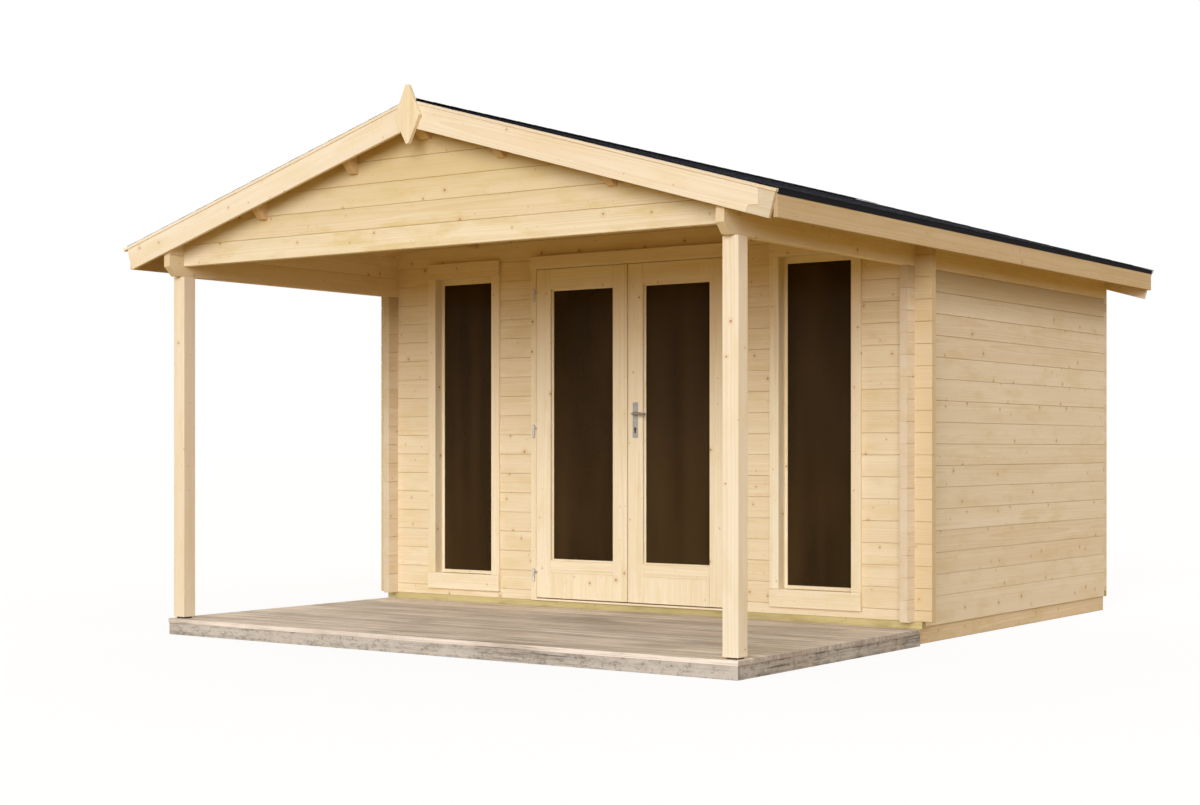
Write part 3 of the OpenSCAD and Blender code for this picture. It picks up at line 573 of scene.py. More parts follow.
class Timbers:
    """Boards of one piece in a single mesh, each with its own run of grain and its own tone."""

    def __init__(self, name, seed):
        self.name = name
        self.dice = random.Random(seed)
        self.mesh = bmesh.new()
        self.grain = self.mesh.verts.layers.float_vector.new("grain")
        self.tone = self.mesh.verts.layers.float.new("tone")
        self.end = self.mesh.faces.layers.float.new("end")
        # Share of painted shade for each face
        self.worn = self.mesh.faces.layers.float.new("worn")

    def lay(self, points, faces, along, ease=None, wide=None):
        """Adds one board given by its corners and faces."""
        ease = sizes().ease if ease is None else ease
        board = bmesh.new()
        corners = [board.verts.new(p) for p in points]
        for face in faces:
            board.faces.new([corners[i] for i in face])
        bmesh.ops.remove_doubles(board, verts=board.verts[:], dist=TINY)
        bmesh.ops.dissolve_degenerate(board, dist=TINY, edges=board.edges[:])
        bmesh.ops.recalc_face_normals(board, faces=board.faces[:])
        if ease:
            joined = [e for e in board.edges if len(e.link_faces) == 2]
            sharp = [e for e in joined if e.calc_face_angle(0.0) > SHARP_ANGLE]
            bmesh.ops.bevel(
                board, geom=sharp, offset=ease, segments=2, profile=0.5, affect="EDGES", clamp_overlap=True
            )
        self._keep(board, Vector(along).normalized(), wide)
        board.free()

    def _keep(self, board, along, wide):
        places = [v.co.copy() for v in board.verts]
        lowest = Vector([min(p[i] for p in places) for i in range(3)])
        highest = Vector([max(p[i] for p in places) for i in range(3)])
        if wide is None:
            spread = [(highest[i] - lowest[i]) * (1 - abs(along[i])) for i in range(3)]
            wide = Vector([float(i == spread.index(max(spread))) for i in range(3)])
        across = (wide - along * wide.dot(along)).normalized()
        axes = (along, across, along.cross(across))
        middle = (lowest + highest) / 2
        dice = self.dice
        pith = [dice.uniform(0, 60), dice.uniform(-0.045, 0.045)]
        pith.append(dice.choice((-1, 1)) * dice.uniform(0.012, 0.06))
        tone = dice.random()
        made = []
        for place in places:
            vert = self.mesh.verts.new(place)
            vert[self.grain] = [(place - middle).dot(axis) + p for axis, p in zip(axes, pith)]
            vert[self.tone] = tone
            made.append(vert)
        for face in board.faces:
            kept = self.mesh.faces.new([made[v.index] for v in face.verts])
            kept[self.end] = float(abs(face.normal.dot(along)) > END_FACING)

    def board(self, lowest, highest, along, ease=None):
        """A straight board between two corners."""
        xs, ys, zs = zip(lowest, highest)
        self.lay([(x, y, z) for z in zs for y in ys for x in xs], BOX_SIDES, along, ease)

    def prism(self, outline, y0, y1, along, ease=None):
        """A board cut to an outline of (x, z) points between two depths."""
        n = len(outline)
        points = [(x, y, z) for y in (y0, y1) for x, z in outline]
        faces = [tuple(range(n)), tuple(range(2 * n - 1, n - 1, -1)), *hoops(n, 0, n)]
        self.lay(points, faces, along, ease)

    def surround(self, ys, stiles, rails, ease=None):
        """Uprights and cross pieces between two depths, each given as (x0, x1, z0, z1)."""
        for along, pieces in ((UP, stiles), (ALONG_X, rails)):
            for x0, x1, z0, z1 in pieces:
                self.board((x0, ys[0], z0), (x1, ys[1], z1), along, ease)

    def log(self, axis, face, a, b, runs, levels=(), top=None):
        """A wall log with chamfered joints. Each run (from, to, low, high) keeps that height of it."""
        # Chamfer, joint gap, easing of the ends, and shoulder beside the tongue
        c, g, e, k = sizes().log_chamfer, sizes().log_gap, sizes().log_end, THICK * 0.3
        foot, head = a + g + c, b - g - c
        flank = [foot, *[z for z in sorted(levels) if foot < z < head], head]
        section = [(0, z) for z in flank]
        section += [(c, b - g), (k, b - g), (k, b), (THICK - k, b), (THICK - k, b - g), (THICK - c, b - g)]
        section += [(THICK, z) for z in reversed(flank)]
        section += [(THICK - c, a + g), (THICK - k, a + g), (THICK - k, a), (k, a), (k, a + g), (c, a + g)]
        rows = [(limit, lowest, highest) for *ends, lowest, highest in runs for limit in ends]
        if not callable(rows[0][0]):
            limit, lowest, highest = rows[0]
            rows[:1] = [(limit, lowest + e, highest - e), (limit + e, lowest, highest)]
        if not callable(rows[-1][0]):
            limit, lowest, highest = rows[-1]
            rows[-1:] = [(limit - e, lowest, highest), (limit, lowest + e, highest - e)]
        points = []
        for limit, lowest, highest in rows:
            for s, z in section:
                z = min(max(z, lowest), highest)
                if top:
                    z = min(z, top(face + s))
                place = at(limit, z)
                points.append((place, face + s, z) if axis == "X" else (face + s, place, z))
        n = len(section)
        faces = [tuple(range(n)), tuple(range(len(points) - 1, len(points) - n - 1, -1))]
        for r in range(len(rows) - 1):
            faces += hoops(n, r * n, (r + 1) * n)
        self.lay(points, faces, ALONG_X if axis == "X" else ALONG_Y, ease=0.0, wide=UP)

    def paint_shade(self, is_shaded, amount):
        """Marks the faces at these places with painted shade, which darkens their colour."""
        for face in self.mesh.faces:
            if is_shaded(face.calc_center_median()):
                face[self.worn] = amount

    def piece(self, finish, body, slot, *nodes):
        settle(add_object(self.name, plain_mesh(self.name, self.mesh, finish)), body, slot, *nodes)


def lone_board(name, seed, node, along, finish, slot):
    """A solid that is one straight board."""
    work = Timbers(name, seed)
    work.board(*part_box(node), along, EASED)
    work.piece(finish, "shed", slot, node)


def runs_between(start, stop, a, b, cuts):
    """Runs of a log of heights a to b, where each cut (from, to, low, high) leaves less of it.
    A cut that leaves nothing parts the log."""
    parted, done, least = [[]], start, 0.008
    for p, q, lowest, highest in sorted(cuts, key=lambda cut: cut[0]):
        if p > at(done, a):
            parted[-1].append((done, p, a, b))
        if highest - lowest > least:
            parted[-1].append((p, q, lowest, highest))
        else:
            parted.append([])
        done = q
    if at(done, a) < at(stop, a):
        parted[-1].append((done, stop, a, b))
    return [runs for runs in parted if runs]


def front_logs(bottom, top):
    """Heights of the logs that lie across the building."""
    heights, z, near = [bottom], FIRST, 0.001
    while z < top - near:
        if z > bottom + near:
            heights.append(z)
        z += LOG
    return list(zip(heights, heights[1:] + [top]))


def corner_neck(a):
    """Heights that a cross log keeps in a lapped corner, for the log whose joint is at or above a."""
    joint = FIRST + math.floor((a - FIRST) / LOG + TINY) * LOG
    return joint + NECK, joint + 3 * NECK


# Repeated pieces


class Loom(Bench):
    """A Geometry Nodes tree being wired."""

    def __init__(self, name, **inputs):
        super().__init__(bpy.data.node_groups.new(name, "GeometryNodeTree"))
        face = self.tree.interface
        face.new_socket("Geometry", in_out="OUTPUT", socket_type="NodeSocketGeometry")
        self.keys = {}
        for label, kind in inputs.items():
            made = face.new_socket(label, in_out="INPUT", socket_type="NodeSocket" + kind)
            self.keys[label] = made.identifier
        self.given = self.tree.nodes.new("NodeGroupInput")

    def __getitem__(self, label):
        return Wire(self, self.given.outputs[label])

    def shape(self, label):
        return self.node("GeometryNodeObjectInfo", {}, {"Object": self[label]}, out="Geometry")

    def lot(self, **more):
        """A random number for each point."""
        sockets = {"ID": self.node("GeometryNodeInputIndex"), "Seed": self["Seed"]} | more
        return self.node("FunctionNodeRandomValue", {"data_type": "FLOAT"}, sockets)

    def named(self, name, kind):
        return self.node("GeometryNodeInputNamedAttribute", {"data_type": kind}, {"Name": name})

    def store(self, geometry, name, value, kind, domain="POINT"):
        settings = {"data_type": kind, "domain": domain}
        sockets = {"Geometry": geometry, "Name": name, "Value": value}
        return self.node("GeometryNodeStoreNamedAttribute", settings, sockets)

    def close(self, geometry):
        sockets = {"Geometry": geometry, "Material": self["Finish"]}
        finished = self.node("GeometryNodeSetMaterial", {}, sockets)
        end = self.tree.nodes.new("NodeGroupOutput")
        self.tree.links.new(finished.socket, end.inputs[0])
        return self


def row_loom():
    """Rows of like boards: each keeps its shape, and gets its own grain, tone and small lift."""
    steps = dict.fromkeys(("Step", "Climb", "Stagger", "Lift"), "Vector")
    loom = Loom("board_rows", Board="Object", Count="Int", Rows="Int", **steps, Seed="Int", Finish="Material")
    index, lot = loom.node("GeometryNodeInputIndex"), loom.lot()
    row = loom.reckon("FLOOR", index / loom["Count"])
    place = loom.vectors("SCALE", loom["Step"], loom.reckon("MODULO", index, loom["Count"]))
    for step, times in (("Climb", row), ("Stagger", loom.reckon("MODULO", row, 2.0)), ("Lift", lot)):
        place = loom.vectors("ADD", place, loom.vectors("SCALE", loom[step], times))
    line = {"Count": loom["Count"] * loom["Rows"], "Offset": NOWHERE}
    points = loom.node("GeometryNodeMeshLine", {}, line)
    points = loom.node("GeometryNodeSetPosition", {}, {"Geometry": points, "Position": place})
    sockets = {"Points": points, "Instance": loom.shape("Board")}
    boards = loom.node("GeometryNodeInstanceOnPoints", {}, sockets)
    boards = loom.store(boards, "lot", lot, "FLOAT", "INSTANCE")
    boards = loom.node("GeometryNodeRealizeInstances", {}, {"Geometry": boards})
    own = loom.named("lot", "FLOAT")
    shift = loom.vectors("SCALE", (83.0, 0.05, 0.03), own)
    grain = loom.vectors("ADD", loom.named("grain", "FLOAT_VECTOR"), shift)
    boards = loom.store(boards, "grain", grain, "FLOAT_VECTOR")
    boards = loom.store(boards, "tone", own, "FLOAT")
    return loom.close(loom.node("GeometryNodeRemoveAttribute", {}, {"Geometry": boards, "Name": "lot"}))


def fixing_loom():
    """A nail or screw head on each point, turned to the point's aim."""
    loom = Loom("fixings", Points="Geometry", Head="Object", Seed="Int", Finish="Material")
    aim = {"Vector": loom.named("aim", "FLOAT_VECTOR")}
    turn = loom.node("FunctionNodeAlignRotationToVector", {"axis": "Z"}, aim)
    spin = {"Axis": (0.0, 0.0, 1.0), "Angle": loom.lot(Min=0.0, Max=6.28)}
    turns = {"Rotation": turn, "Rotate By": loom.node("FunctionNodeAxisAngleToRotation", {}, spin)}
    whole = loom.node("FunctionNodeRotateRotation", {"rotation_space": "LOCAL"}, turns)
    sockets = {"Points": loom["Points"], "Instance": loom.shape("Head"), "Rotation": whole}
    heads = loom.node("GeometryNodeInstanceOnPoints", {}, sockets)
    return loom.close(loom.node("GeometryNodeRealizeInstances", {}, {"Geometry": heads}))


LOOMS = {}


def woven(name, loom, host_mesh, values):
    """Runs a tree on a host mesh and returns the result as a plain object."""
    host = add_object(name + "_host", host_mesh)
    made = host.modifiers.new("weave", "NODES")
    made.node_group = loom.tree
    for label, value in values.items():
        made[loom.keys[label]] = value
    bpy.context.view_layer.update()
    graph = bpy.context.evaluated_depsgraph_get()
    mesh = bpy.data.meshes.new_from_object(
        host.evaluated_get(graph), preserve_all_data_layers=True, depsgraph=graph
    )
    mesh.name = name
    host.modifiers.clear()
    bpy.data.objects.remove(host)
    if not len(mesh.polygons):
        raise RuntimeError(f"{name}: the tree made no faces")
    return add_object(name, mesh)


def board_row(name, board, count, step, finish, seed, lift=NOWHERE, rows=1, climb=NOWHERE, stagger=NOWHERE):
    """Repeats one board count times, each a step further, in one or more rows."""
    shape = add_object(name + "_board", plain_mesh(board.name, board.mesh, finish))
    values = {"Board": shape, "Count": count, "Rows": rows, "Step": step, "Climb": climb}
    values |= {"Stagger": stagger, "Lift": lift, "Seed": seed, "Finish": FINISH[finish]}
    made = woven(name, LOOMS["row"], bpy.data.meshes.new(name + "_seat"), values)
    bpy.data.objects.remove(shape)
    return made


def ring(shape, middle, one, two, radius, sides):
    """A closed row of corners round a middle, in the plane of two directions."""
    turns = [2 * math.pi * k / sides for k in range(sides)]
    return [shape.verts.new(middle + (one * math.cos(t) + two * math.sin(t)) * radius) for t in turns]


def skin(shape, rows):
    """Faces over closed rows of corners, and over both ends."""
    n = len(rows[0])
    for one, two in zip(rows, rows[1:]):
        for i in range(n):
            shape.faces.new((one[i], one[(i + 1) % n], two[(i + 1) % n], two[i]))
    shape.faces.new(rows[-1])
    shape.faces.new(rows[0][::-1])


def fixings(name, spots, radius, rise, seed, dimple=0.0):
    """Low domed heads, or dished ones, at (place, aim) spots, with their feet a little below their seats."""
    shape = bmesh.new()
    sunk, sides = 0.0006, 8
    stops = [(radius, -sunk), (radius, rise * 0.4), (radius * 0.72, rise)]
    if dimple:
        stops += [(radius * 0.45, rise), (radius * 0.38, rise - dimple)]
    skin(shape, [ring(shape, UP * z, ALONG_X, ALONG_Y, r, sides) for r, z in stops])
    bmesh.ops.recalc_face_normals(shape, faces=shape.faces[:])
    head = add_object(name + "_head", plain_mesh("head", shape))
    mesh = bpy.data.meshes.new(name + "_spots")
    mesh.from_pydata([p for p, _ in spots], [], [])
    aims = mesh.attributes.new("aim", "FLOAT_VECTOR", "POINT")
    aims.data.foreach_set("vector", [x for _, aim in spots for x in aim])
    made = woven(name, LOOMS["fixing"], mesh, {"Head": head, "Seed": seed, "Finish": FINISH["hinge"]})
    bpy.data.objects.remove(head)
    settle(made, "shed", "steel")


# Base and walls


class SHED_OT_base(bpy.types.Operator):
    """Lays the bearers, joists, treated sills and floor boards"""

    bl_idname = "shed.base"
    bl_label = "Base"

    def execute(self, context):
        lowest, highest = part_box("bearers")
        width = 0.058
        bearers = Timbers("bearer_timbers", 11)
        for x in (lowest.x, highest.x - width):
            bearers.board((x, lowest.y, 0), (x + width, highest.y, highest.z), ALONG_Y, ease=0.004)
        bearers.piece("bearer", "shed", "bearer_wood", "bearers")
        dress("floor_joists", "joist")
        for node, seed in (("front_sill", 21), ("rear_sill", 22)):
            lone_board(node + "_timber", seed, node, ALONG_X, "sill", "treated_wood")
        lowest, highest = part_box("floor_boards")
        count = round((highest.x - lowest.x) / sizes().floor_board)
        pitch, gap = (highest.x - lowest.x) / count, 0.0006
        board = Timbers("floor_board", 31)
        board.board(lowest, (lowest.x + pitch - gap, highest.y, highest.z), ALONG_Y, ease=0.0015)
        floor = board_row("floor_planks", board, count, (pitch, 0, 0), "roof", 5, lift=(0, 0, -0.0004))
        settle(floor, "shed", "roof_wood", "floor_boards")
        return {"FINISHED"}


def side_wall_logs(timbers, x):
    """Logs of one side wall, notched at both corners."""
    for k in range(SIDE_LOGS):
        a = BASE_Z + k * LOG if k else low("right_wall").z
        b = BASE_Z + (k + 1) * LOG
        neck = (b - LOG / 2 - NECK, b - LOG / 2 + NECK)
        cuts = [(WALL_Y, WALL_Y + THICK, *neck), (REAR_Y - THICK, REAR_Y, *neck)]
        if not k:
            cuts.append((STUB_Y, WALL_Y, BASE_Z, b))
        for runs in runs_between(STUB_Y, REAR_Y, a, b, cuts):
            timbers.log("Y", x, a, b, runs)


def front_side_logs(timbers, s):
    """Logs beside the doors, parted by the window hole."""
    middle = (low("right_window_frame").x + high("right_window_frame").x) / 2
    hole = (middle - WINDOW_HOLE, middle + WINDOW_HOLE)
    for a, b in front_logs(BASE_Z, HEAD_JOINT):
        neck = corner_neck(a)
        cuts = [(INNER, HALF, max(neck[0], a), neck[1])]
        if b > WINDOW_FOOT and a < WINDOW_HEAD:
            keep = (a, WINDOW_FOOT) if a < WINDOW_FOOT else (WINDOW_HEAD, b) if b > WINDOW_HEAD else (a, a)
            cuts.append((*hole, *keep))
        if s < 0:
            cuts = [(-q, -p, lowest, highest) for p, q, lowest, highest in cuts]
        ends = (DOOR_SIDE, STUB_X) if s > 0 else (-STUB_X, -DOOR_SIDE)
        for runs in runs_between(*ends, a, b, cuts):
            timbers.log("X", WALL_Y, a, b, runs)


def gable_logs(timbers, y, bottom, reach, flush):
    """Logs of a gable under the roof, parted or notched by the purlins."""
    seat, far, hair = RIDGE_Z - SEAT, 9.0, 0.0005
    sliver, shallow, thin = 0.010, 0.004, 0.012
    corner = seat - reach * RISE
    holes = [(0.0, RIDGE_HALF, RIDGE_Z - RIDGE_PURLIN)]
    holes += [(s * x, THICK / 2, under(x) - PURLIN) for x in PURLINS for s in (-1, 1)]
    for a, b in front_logs(bottom, seat):
        neck = corner_neck(a)
        through, notches = [], []
        for x, w, foot in holes:
            if foot < a + sliver:
                through.append((x - w, x + w))
            elif foot < b - shallow:
                notches.append((x - w, x + w, a, foot))
        edges = [-far, *[e for hole in sorted(through) for e in hole], far]
        for p, q in zip(edges[::2], edges[1::2]):
            inmost = 0.0 if p < 0 < q else min(abs(p), abs(q))
            crown = min(b, seat - inmost * RISE)
            if crown - a < thin:
                continue

            def end(z, limit):
                """The wall's edge at a height, or the limit where that comes first."""
                lap = INNER if flush and z < neck[0] and a < neck[0] - NECK + 2 * hair else reach
                side = min(lap, max((seat - z) / RISE, 0.0))
                return max(-side, limit) if limit < 0 else min(side, limit)

            inside = [n for n in notches if p < n[0] and n[1] < q]
            if p == -far and flush and b < corner:
                lap = (max(neck[0], a), neck[1])
                cuts = [(-HALF, -INNER, *lap), (INNER, HALF, *lap), *inside]
                for runs in runs_between(-HALF, HALF, a, b, cuts):
                    timbers.log("X", y, a, b, runs)
                continue
            start = (lambda z, p=p, end=end: end(z, p)) if p < 0 else p
            stop = (lambda z, q=q, end=end: end(z, q)) if q > 0 else q
            levels = [neck[0] - hair, neck[0] + hair, corner, seat - INNER * RISE]
            for runs in runs_between(start, stop, a, crown, inside):
                timbers.log("X", y, a, crown, runs, levels)


class SHED_OT_walls(bpy.types.Operator):
    """Stacks the wall logs with their lapped corners"""

    bl_idname = "shed.walls"
    bl_label = "Log walls"

    def execute(self, context):
        outside = HALF + 0.001
        for node, x, seed in (("left_wall", -HALF, 41), ("right_wall", INNER, 42)):
            logs = Timbers(node + "_logs", seed)
            side_wall_logs(logs, x)
            logs.piece("side", "shed", "log_wood", node)
        for node, s, seed in (("front_wall_left", -1, 43), ("front_wall_right", 1, 44)):
            logs = Timbers(node + "_logs", seed)
            front_side_logs(logs, s)
            # Painted shade on the log stubs that stand out past the side walls
            logs.paint_shade(lambda place: abs(place.x) > outside, 0.5)
            logs.piece("log", "shed", "log_wood", node)
        gables = (
            ("front_gable", 45, WALL_Y, HEAD_JOINT, STUB_X, False),
            ("rear_wall", 46, REAR_Y - THICK, BASE_Z, HALF, True),
        )
        for node, seed, *shape in gables:
            logs = Timbers(node + "_logs", seed)
            gable_logs(logs, *shape)
            logs.piece("log", "shed", "log_wood", node)
        return {"FINISHED"}


# Porch


class SHED_OT_porch(bpy.types.Operator):
    """Builds the eaves beams, the porch gable and the posts"""

    bl_idname = "shed.porch"
    bl_label = "Porch"

    def execute(self, context):
        nose = low("left_eaves_beam").y
        shoulder = BEAM_Z + 0.050
        for node, x, seed in (("left_eaves_beam", -HALF, 51), ("right_eaves_beam", INNER, 52)):
            beam = Timbers(node + "_logs", seed)
            for k in range(2):
                a, b = BEAM_Z + k * LOG, BEAM_Z + (k + 1) * LOG + k * TOP_LOG
                neck = (a + NECK, a + 3 * NECK)
                cuts = [(y, y + THICK, *neck) for y in (WALL_Y, REAR_Y - THICK)]
                cuts.append((GABLE_Y, GABLE_Y + THICK, neck[0] if k else a, neck[1]))
                start = nose if k else lambda z: nose + max(0.0, shoulder - z)
                for runs in runs_between(start, REAR_Y, a, b, cuts):
                    beam.log("Y", x, a, b, runs, (shoulder,), lambda d: under(d) - SEAT)
            beam.piece("log", "shed", "log_wood", node)
        logs = Timbers("porch_gable_logs", 53)
        gable_logs(logs, GABLE_Y, BEAM_Z + LOG / 2, HALF, True)
        logs.piece("gable", "shed", "log_wood", "porch_gable")
        for node, seed in (("left_post", 54), ("right_post", 55)):
            lone_board(node + "_timber", seed, node, UP, "trim", "trim_wood")
        dress("post_pads", "pad")
        return {"FINISHED"}


class SHED_OT_deck(bpy.types.Operator):
    """Lays the deck boards on their joists and screws them down"""

    bl_idname = "shed.deck"
    bl_label = "Deck"

    def execute(self, context):
        lowest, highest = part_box("deck_boards")
        count = round((highest.y - lowest.y) / sizes().deck_board)
        pitch = (highest.y - lowest.y) / count
        board = Timbers("deck_board", 61)
        far = (highest.x, lowest.y + pitch - sizes().deck_gap, highest.z)
        board.board(lowest, far, ALONG_X)
        deck = board_row("deck_planks", board, count, (0, pitch, 0), "deck", 7, lift=(0, 0, -0.0007))
        settle(deck, "shed", "deck_wood", "deck_boards")
        dress("deck_joists", "deck_frame")
        lone_board("deck_front_board", 62, "deck_fascia", ALONG_X, "deck_edge", "deck_wood")
        self.screws(lowest.y, highest.z, count, pitch)
        return {"FINISHED"}

    def screws(self, front, top, count, pitch):
        """Two screws in each board over each joist, a little sunk."""
        lowest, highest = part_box("deck_joists")
        width, bays, sunk = 0.045, 8, 0.0012
        spots = []
        for i in range(bays + 1):
            x = lowest.x + width / 2 + i * (highest.x - lowest.x - width) / bays
            for k in range(count):
                for share in (0.22, 0.78):
                    y = front + (k + share) * pitch
                    if y > lowest.y:
                        spots.append(((x, y, top - sunk), UP))
        fixings("deck_screws", spots, 0.0042, 0.0011, 3, dimple=0.0012)


# Roof


def up_slope(s, d, lift, y):
    """A point d up the slope from the eaves edge, lifted square off the boards."""
    x = FELT_EDGE - d * FLAT
    return Vector((s * (x + lift * SLANT), y, decked(x) + lift * FLAT))


def trim_to(made, planes):
    """Cuts a piece along planes (place, outward normal) and closes the cuts."""
    mesh = bmesh.new()
    mesh.from_mesh(made.data)
    for place, normal in planes:
        cut = bmesh.ops.bisect_plane(
            mesh,
            geom=mesh.verts[:] + mesh.edges[:] + mesh.faces[:],
            plane_co=place,
            plane_no=normal,
            clear_outer=True,
            dist=TINY,
        )
        rim = [e for e in cut["geom_cut"] if isinstance(e, bmesh.types.BMEdge) and e.is_boundary]
        bmesh.ops.holes_fill(mesh, edges=rim, sides=0)
    bmesh.ops.recalc_face_normals(mesh, faces=mesh.faces[:])
    mesh.to_mesh(made.data)
    mesh.free()


class SHED_OT_roof(bpy.types.Operator):
    """Builds the purlins, roof boards, felt and eaves fascias"""

    bl_idname = "shed.roof"
    bl_label = "Roof"

    def execute(self, context):
        self.purlin("ridge_purlin_timber", 71, [0.0], RIDGE_HALF, RIDGE_PURLIN, "ridge_purlin")
        middles = [s * x for s in (-1, 1) for x in PURLINS]
        self.purlin("purlin_timbers", 72, middles, THICK / 2, PURLIN, "purlins")
        self.boards()
        self.felt()
        for node, s, seed in (("left_fascia", -1, 81), ("right_fascia", 1, 82)):
            lowest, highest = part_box(node)
            outline = [(ROOF_EDGE, lowest.z), (EAVES, lowest.z)]
            outline += [(EAVES, decked(EAVES)), (ROOF_EDGE, decked(ROOF_EDGE))]
            fascia = Timbers(node + "_board", seed)
            fascia.prism(sided(s, outline), lowest.y, highest.y, ALONG_Y)
            fascia.piece("fascia", "shed", "trim_wood", node)
        return {"FINISHED"}

    def purlin(self, name, seed, middles, half, height, node):
        """Purlins cut to the slope on top, with a sloped nose at the front."""
        timbers = Timbers(name, seed)
        nose = PURLIN_NOSE
        for x in middles:
            foot = under(x) - height
            left, right = x - half, x + half
            crowns = [(left, under(left) - SEAT), (right, under(right) - SEAT)]
            if left < 0 < right:
                crowns.insert(1, (x, RIDGE_Z - SEAT))
            base = [(right, foot), (left, foot)]
            start = [(px, ROOF_FRONT + (nose if z == foot else 0.0), z) for px, z in crowns + base]
            hip = [(left, ROOF_FRONT, foot + nose), (right, ROOF_FRONT, foot + nose)]
            rear = [(px, ROOF_REAR, z) for px, z in crowns + base]
            n, c = len(start), len(crowns)
            h0, h1, r = n, n + 1, n + 2
            faces = [tuple(range(c)) + (h1, h0), (h0, h1, c, c + 1), tuple(range(r + n - 1, r - 1, -1))]
            faces += [(i, i + 1, r + i + 1, r + i) for i in range(c - 1)]
            faces += [(c - 1, h1, c, r + c, r + c - 1), (c, c + 1, r + c + 1, r + c)]
            faces += [(c + 1, h0, 0, r, r + c + 1)]
            timbers.lay(start + hip + rear, faces, ALONG_Y, ease=0.004, wide=UP)
        timbers.piece("roof", "shed", "roof_wood", node)

    def boards(self):
        count = round((ROOF_REAR - ROOF_FRONT) / sizes().roof_board)
        pitch, gap = (ROOF_REAR - ROOF_FRONT) / count, 0.0004
        for side, s, seed in (("left", -1, 73), ("right", 1, 74)):
            board = Timbers(f"{side}_roof_boards_one", seed)
            x0, x1 = 0.0008, ROOF_EDGE
            outline = [(x0, under(x0)), (x1, under(x1)), (x1, decked(x1)), (x0, decked(x0))]
            board.prism(sided(s, outline), ROOF_FRONT, ROOF_FRONT + pitch - gap, downhill(s))
            planks = board_row(f"{side}_roof_planks", board, count, (0, pitch, 0), "roof", seed)
            settle(planks, "shed", "roof_wood", f"{side}_roof_boards")

    def felt(self):
        """Courses of slotted shingles over an underlay, and tabs folded over the ridge."""
        show, slot, thick = sizes().tab_show, sizes().tab_slot, sizes().tab_thick
        front, rear = ROOF_FRONT - VERGE, ROOF_REAR + VERGE
        tabs = round((rear - front) / sizes().tab_width)
        width, reach, hair = (rear - front) / tabs, 0.300, 0.0002
        tilt = thick * reach / show
        rows = math.ceil(FELT_EDGE / FLAT / show)
        for node, s, set_back, seed in (("left_felt", -1, 0.012, 75), ("right_felt", 1, 0.0, 76)):
            tab = Timbers(node + "_tab", seed)
            points = [
                up_slope(s, d, lift + face, y)
                for face in (hair, thick)
                for y in (front + slot / 2, front + width - slot / 2)
                for d, lift in ((0.0, tilt), (reach, SEAT))
            ]
            tab.lay(points, BOX_SIDES, downhill(s), ease=0.0006)
            layout = {"rows": rows, "climb": -show * downhill(s), "stagger": (0, -width / 2, 0)}
            made = board_row(node + "_shingles", tab, tabs + 1, (0, width, 0), "felt", seed, **layout)
            ends = (front + set_back, rear - set_back)
            planes = [((0, ends[0], 0), (0, -1, 0)), ((0, ends[1], 0), (0, 1, 0)), (NOWHERE, (-s, 0, 0))]
            trim_to(made, planes)
            settle(made, "shed", "felt", node)
            self.underlay(node + "_underlay", s, *ends, seed)
        set_back = 0.040
        self.ridge_tabs(front + set_back, rear - set_back, thick, tilt + 2 * thick)

    def underlay(self, name, s, front, rear, seed):
        """Felt under the shingles, and the drip strip folded over the fascia."""
        sheet = Timbers(name, seed)
        thin, drop, lip = 0.002, 0.024, 0.003
        ridge, edge, face = decked(0.0), decked(FELT_EDGE), decked(EAVES)
        outline = [(0.0, ridge), (FELT_EDGE, edge), (FELT_EDGE, edge + thin), (0.0, ridge + thin)]
        sheet.prism(sided(s, outline), front, rear, downhill(s), 0.0)
        outline = [(EAVES, face - drop), (EAVES + lip, face - drop)]
        outline += [(FELT_EDGE, edge + thin), (EAVES, face + thin)]
        sheet.prism(sided(s, outline), ROOF_FRONT, ROOF_REAR, ALONG_Y, 0.0)
        sheet.piece("felt", "shed", "felt")

    def ridge_tabs(self, front, rear, thick, foot):
        """Tabs bent over the ridge, each lapping the next."""
        reach, count, half, bow, blunt = 0.25, 33, 0.165, 0.012, 0.007
        pitch = (rear - front - reach) / (count - 1)
        tilt = thick * reach / pitch
        bend = (-half, -bow, 0.0, bow, half)
        tab = Timbers("ridge_tab", 77)
        points = []
        for up in (0.0, thick):
            for y, lift in ((front, tilt), (front + reach, SEAT)):
                for x in bend:
                    points.append((x, y, decked(max(abs(x), blunt)) + (foot + lift + up) / FLAT))
        n = len(bend)
        faces = []
        for i in range(n - 1):
            faces += [(i, i + 1, n + i + 1, n + i), (2 * n + i, 3 * n + i, 3 * n + i + 1, 2 * n + i + 1)]
            faces += [(i, 2 * n + i, 2 * n + i + 1, i + 1), (n + i, n + i + 1, 3 * n + i + 1, 3 * n + i)]
        faces += [(0, n, 3 * n, 2 * n), (n - 1, 3 * n - 1, 4 * n - 1, 2 * n - 1)]
        tab.lay(points, faces, ALONG_Y, ease=0.0)
        made = board_row("ridge_shingles", tab, count, (0, pitch, 0), "felt", 78)
        settle(made, "shed", "felt", "ridge_felt")


# Gable trim


def barge_foot(deep):
    """Lower outer corner of a bargeboard."""
    return EAVES - deep * SLANT, capped(EAVES) - deep * FLAT


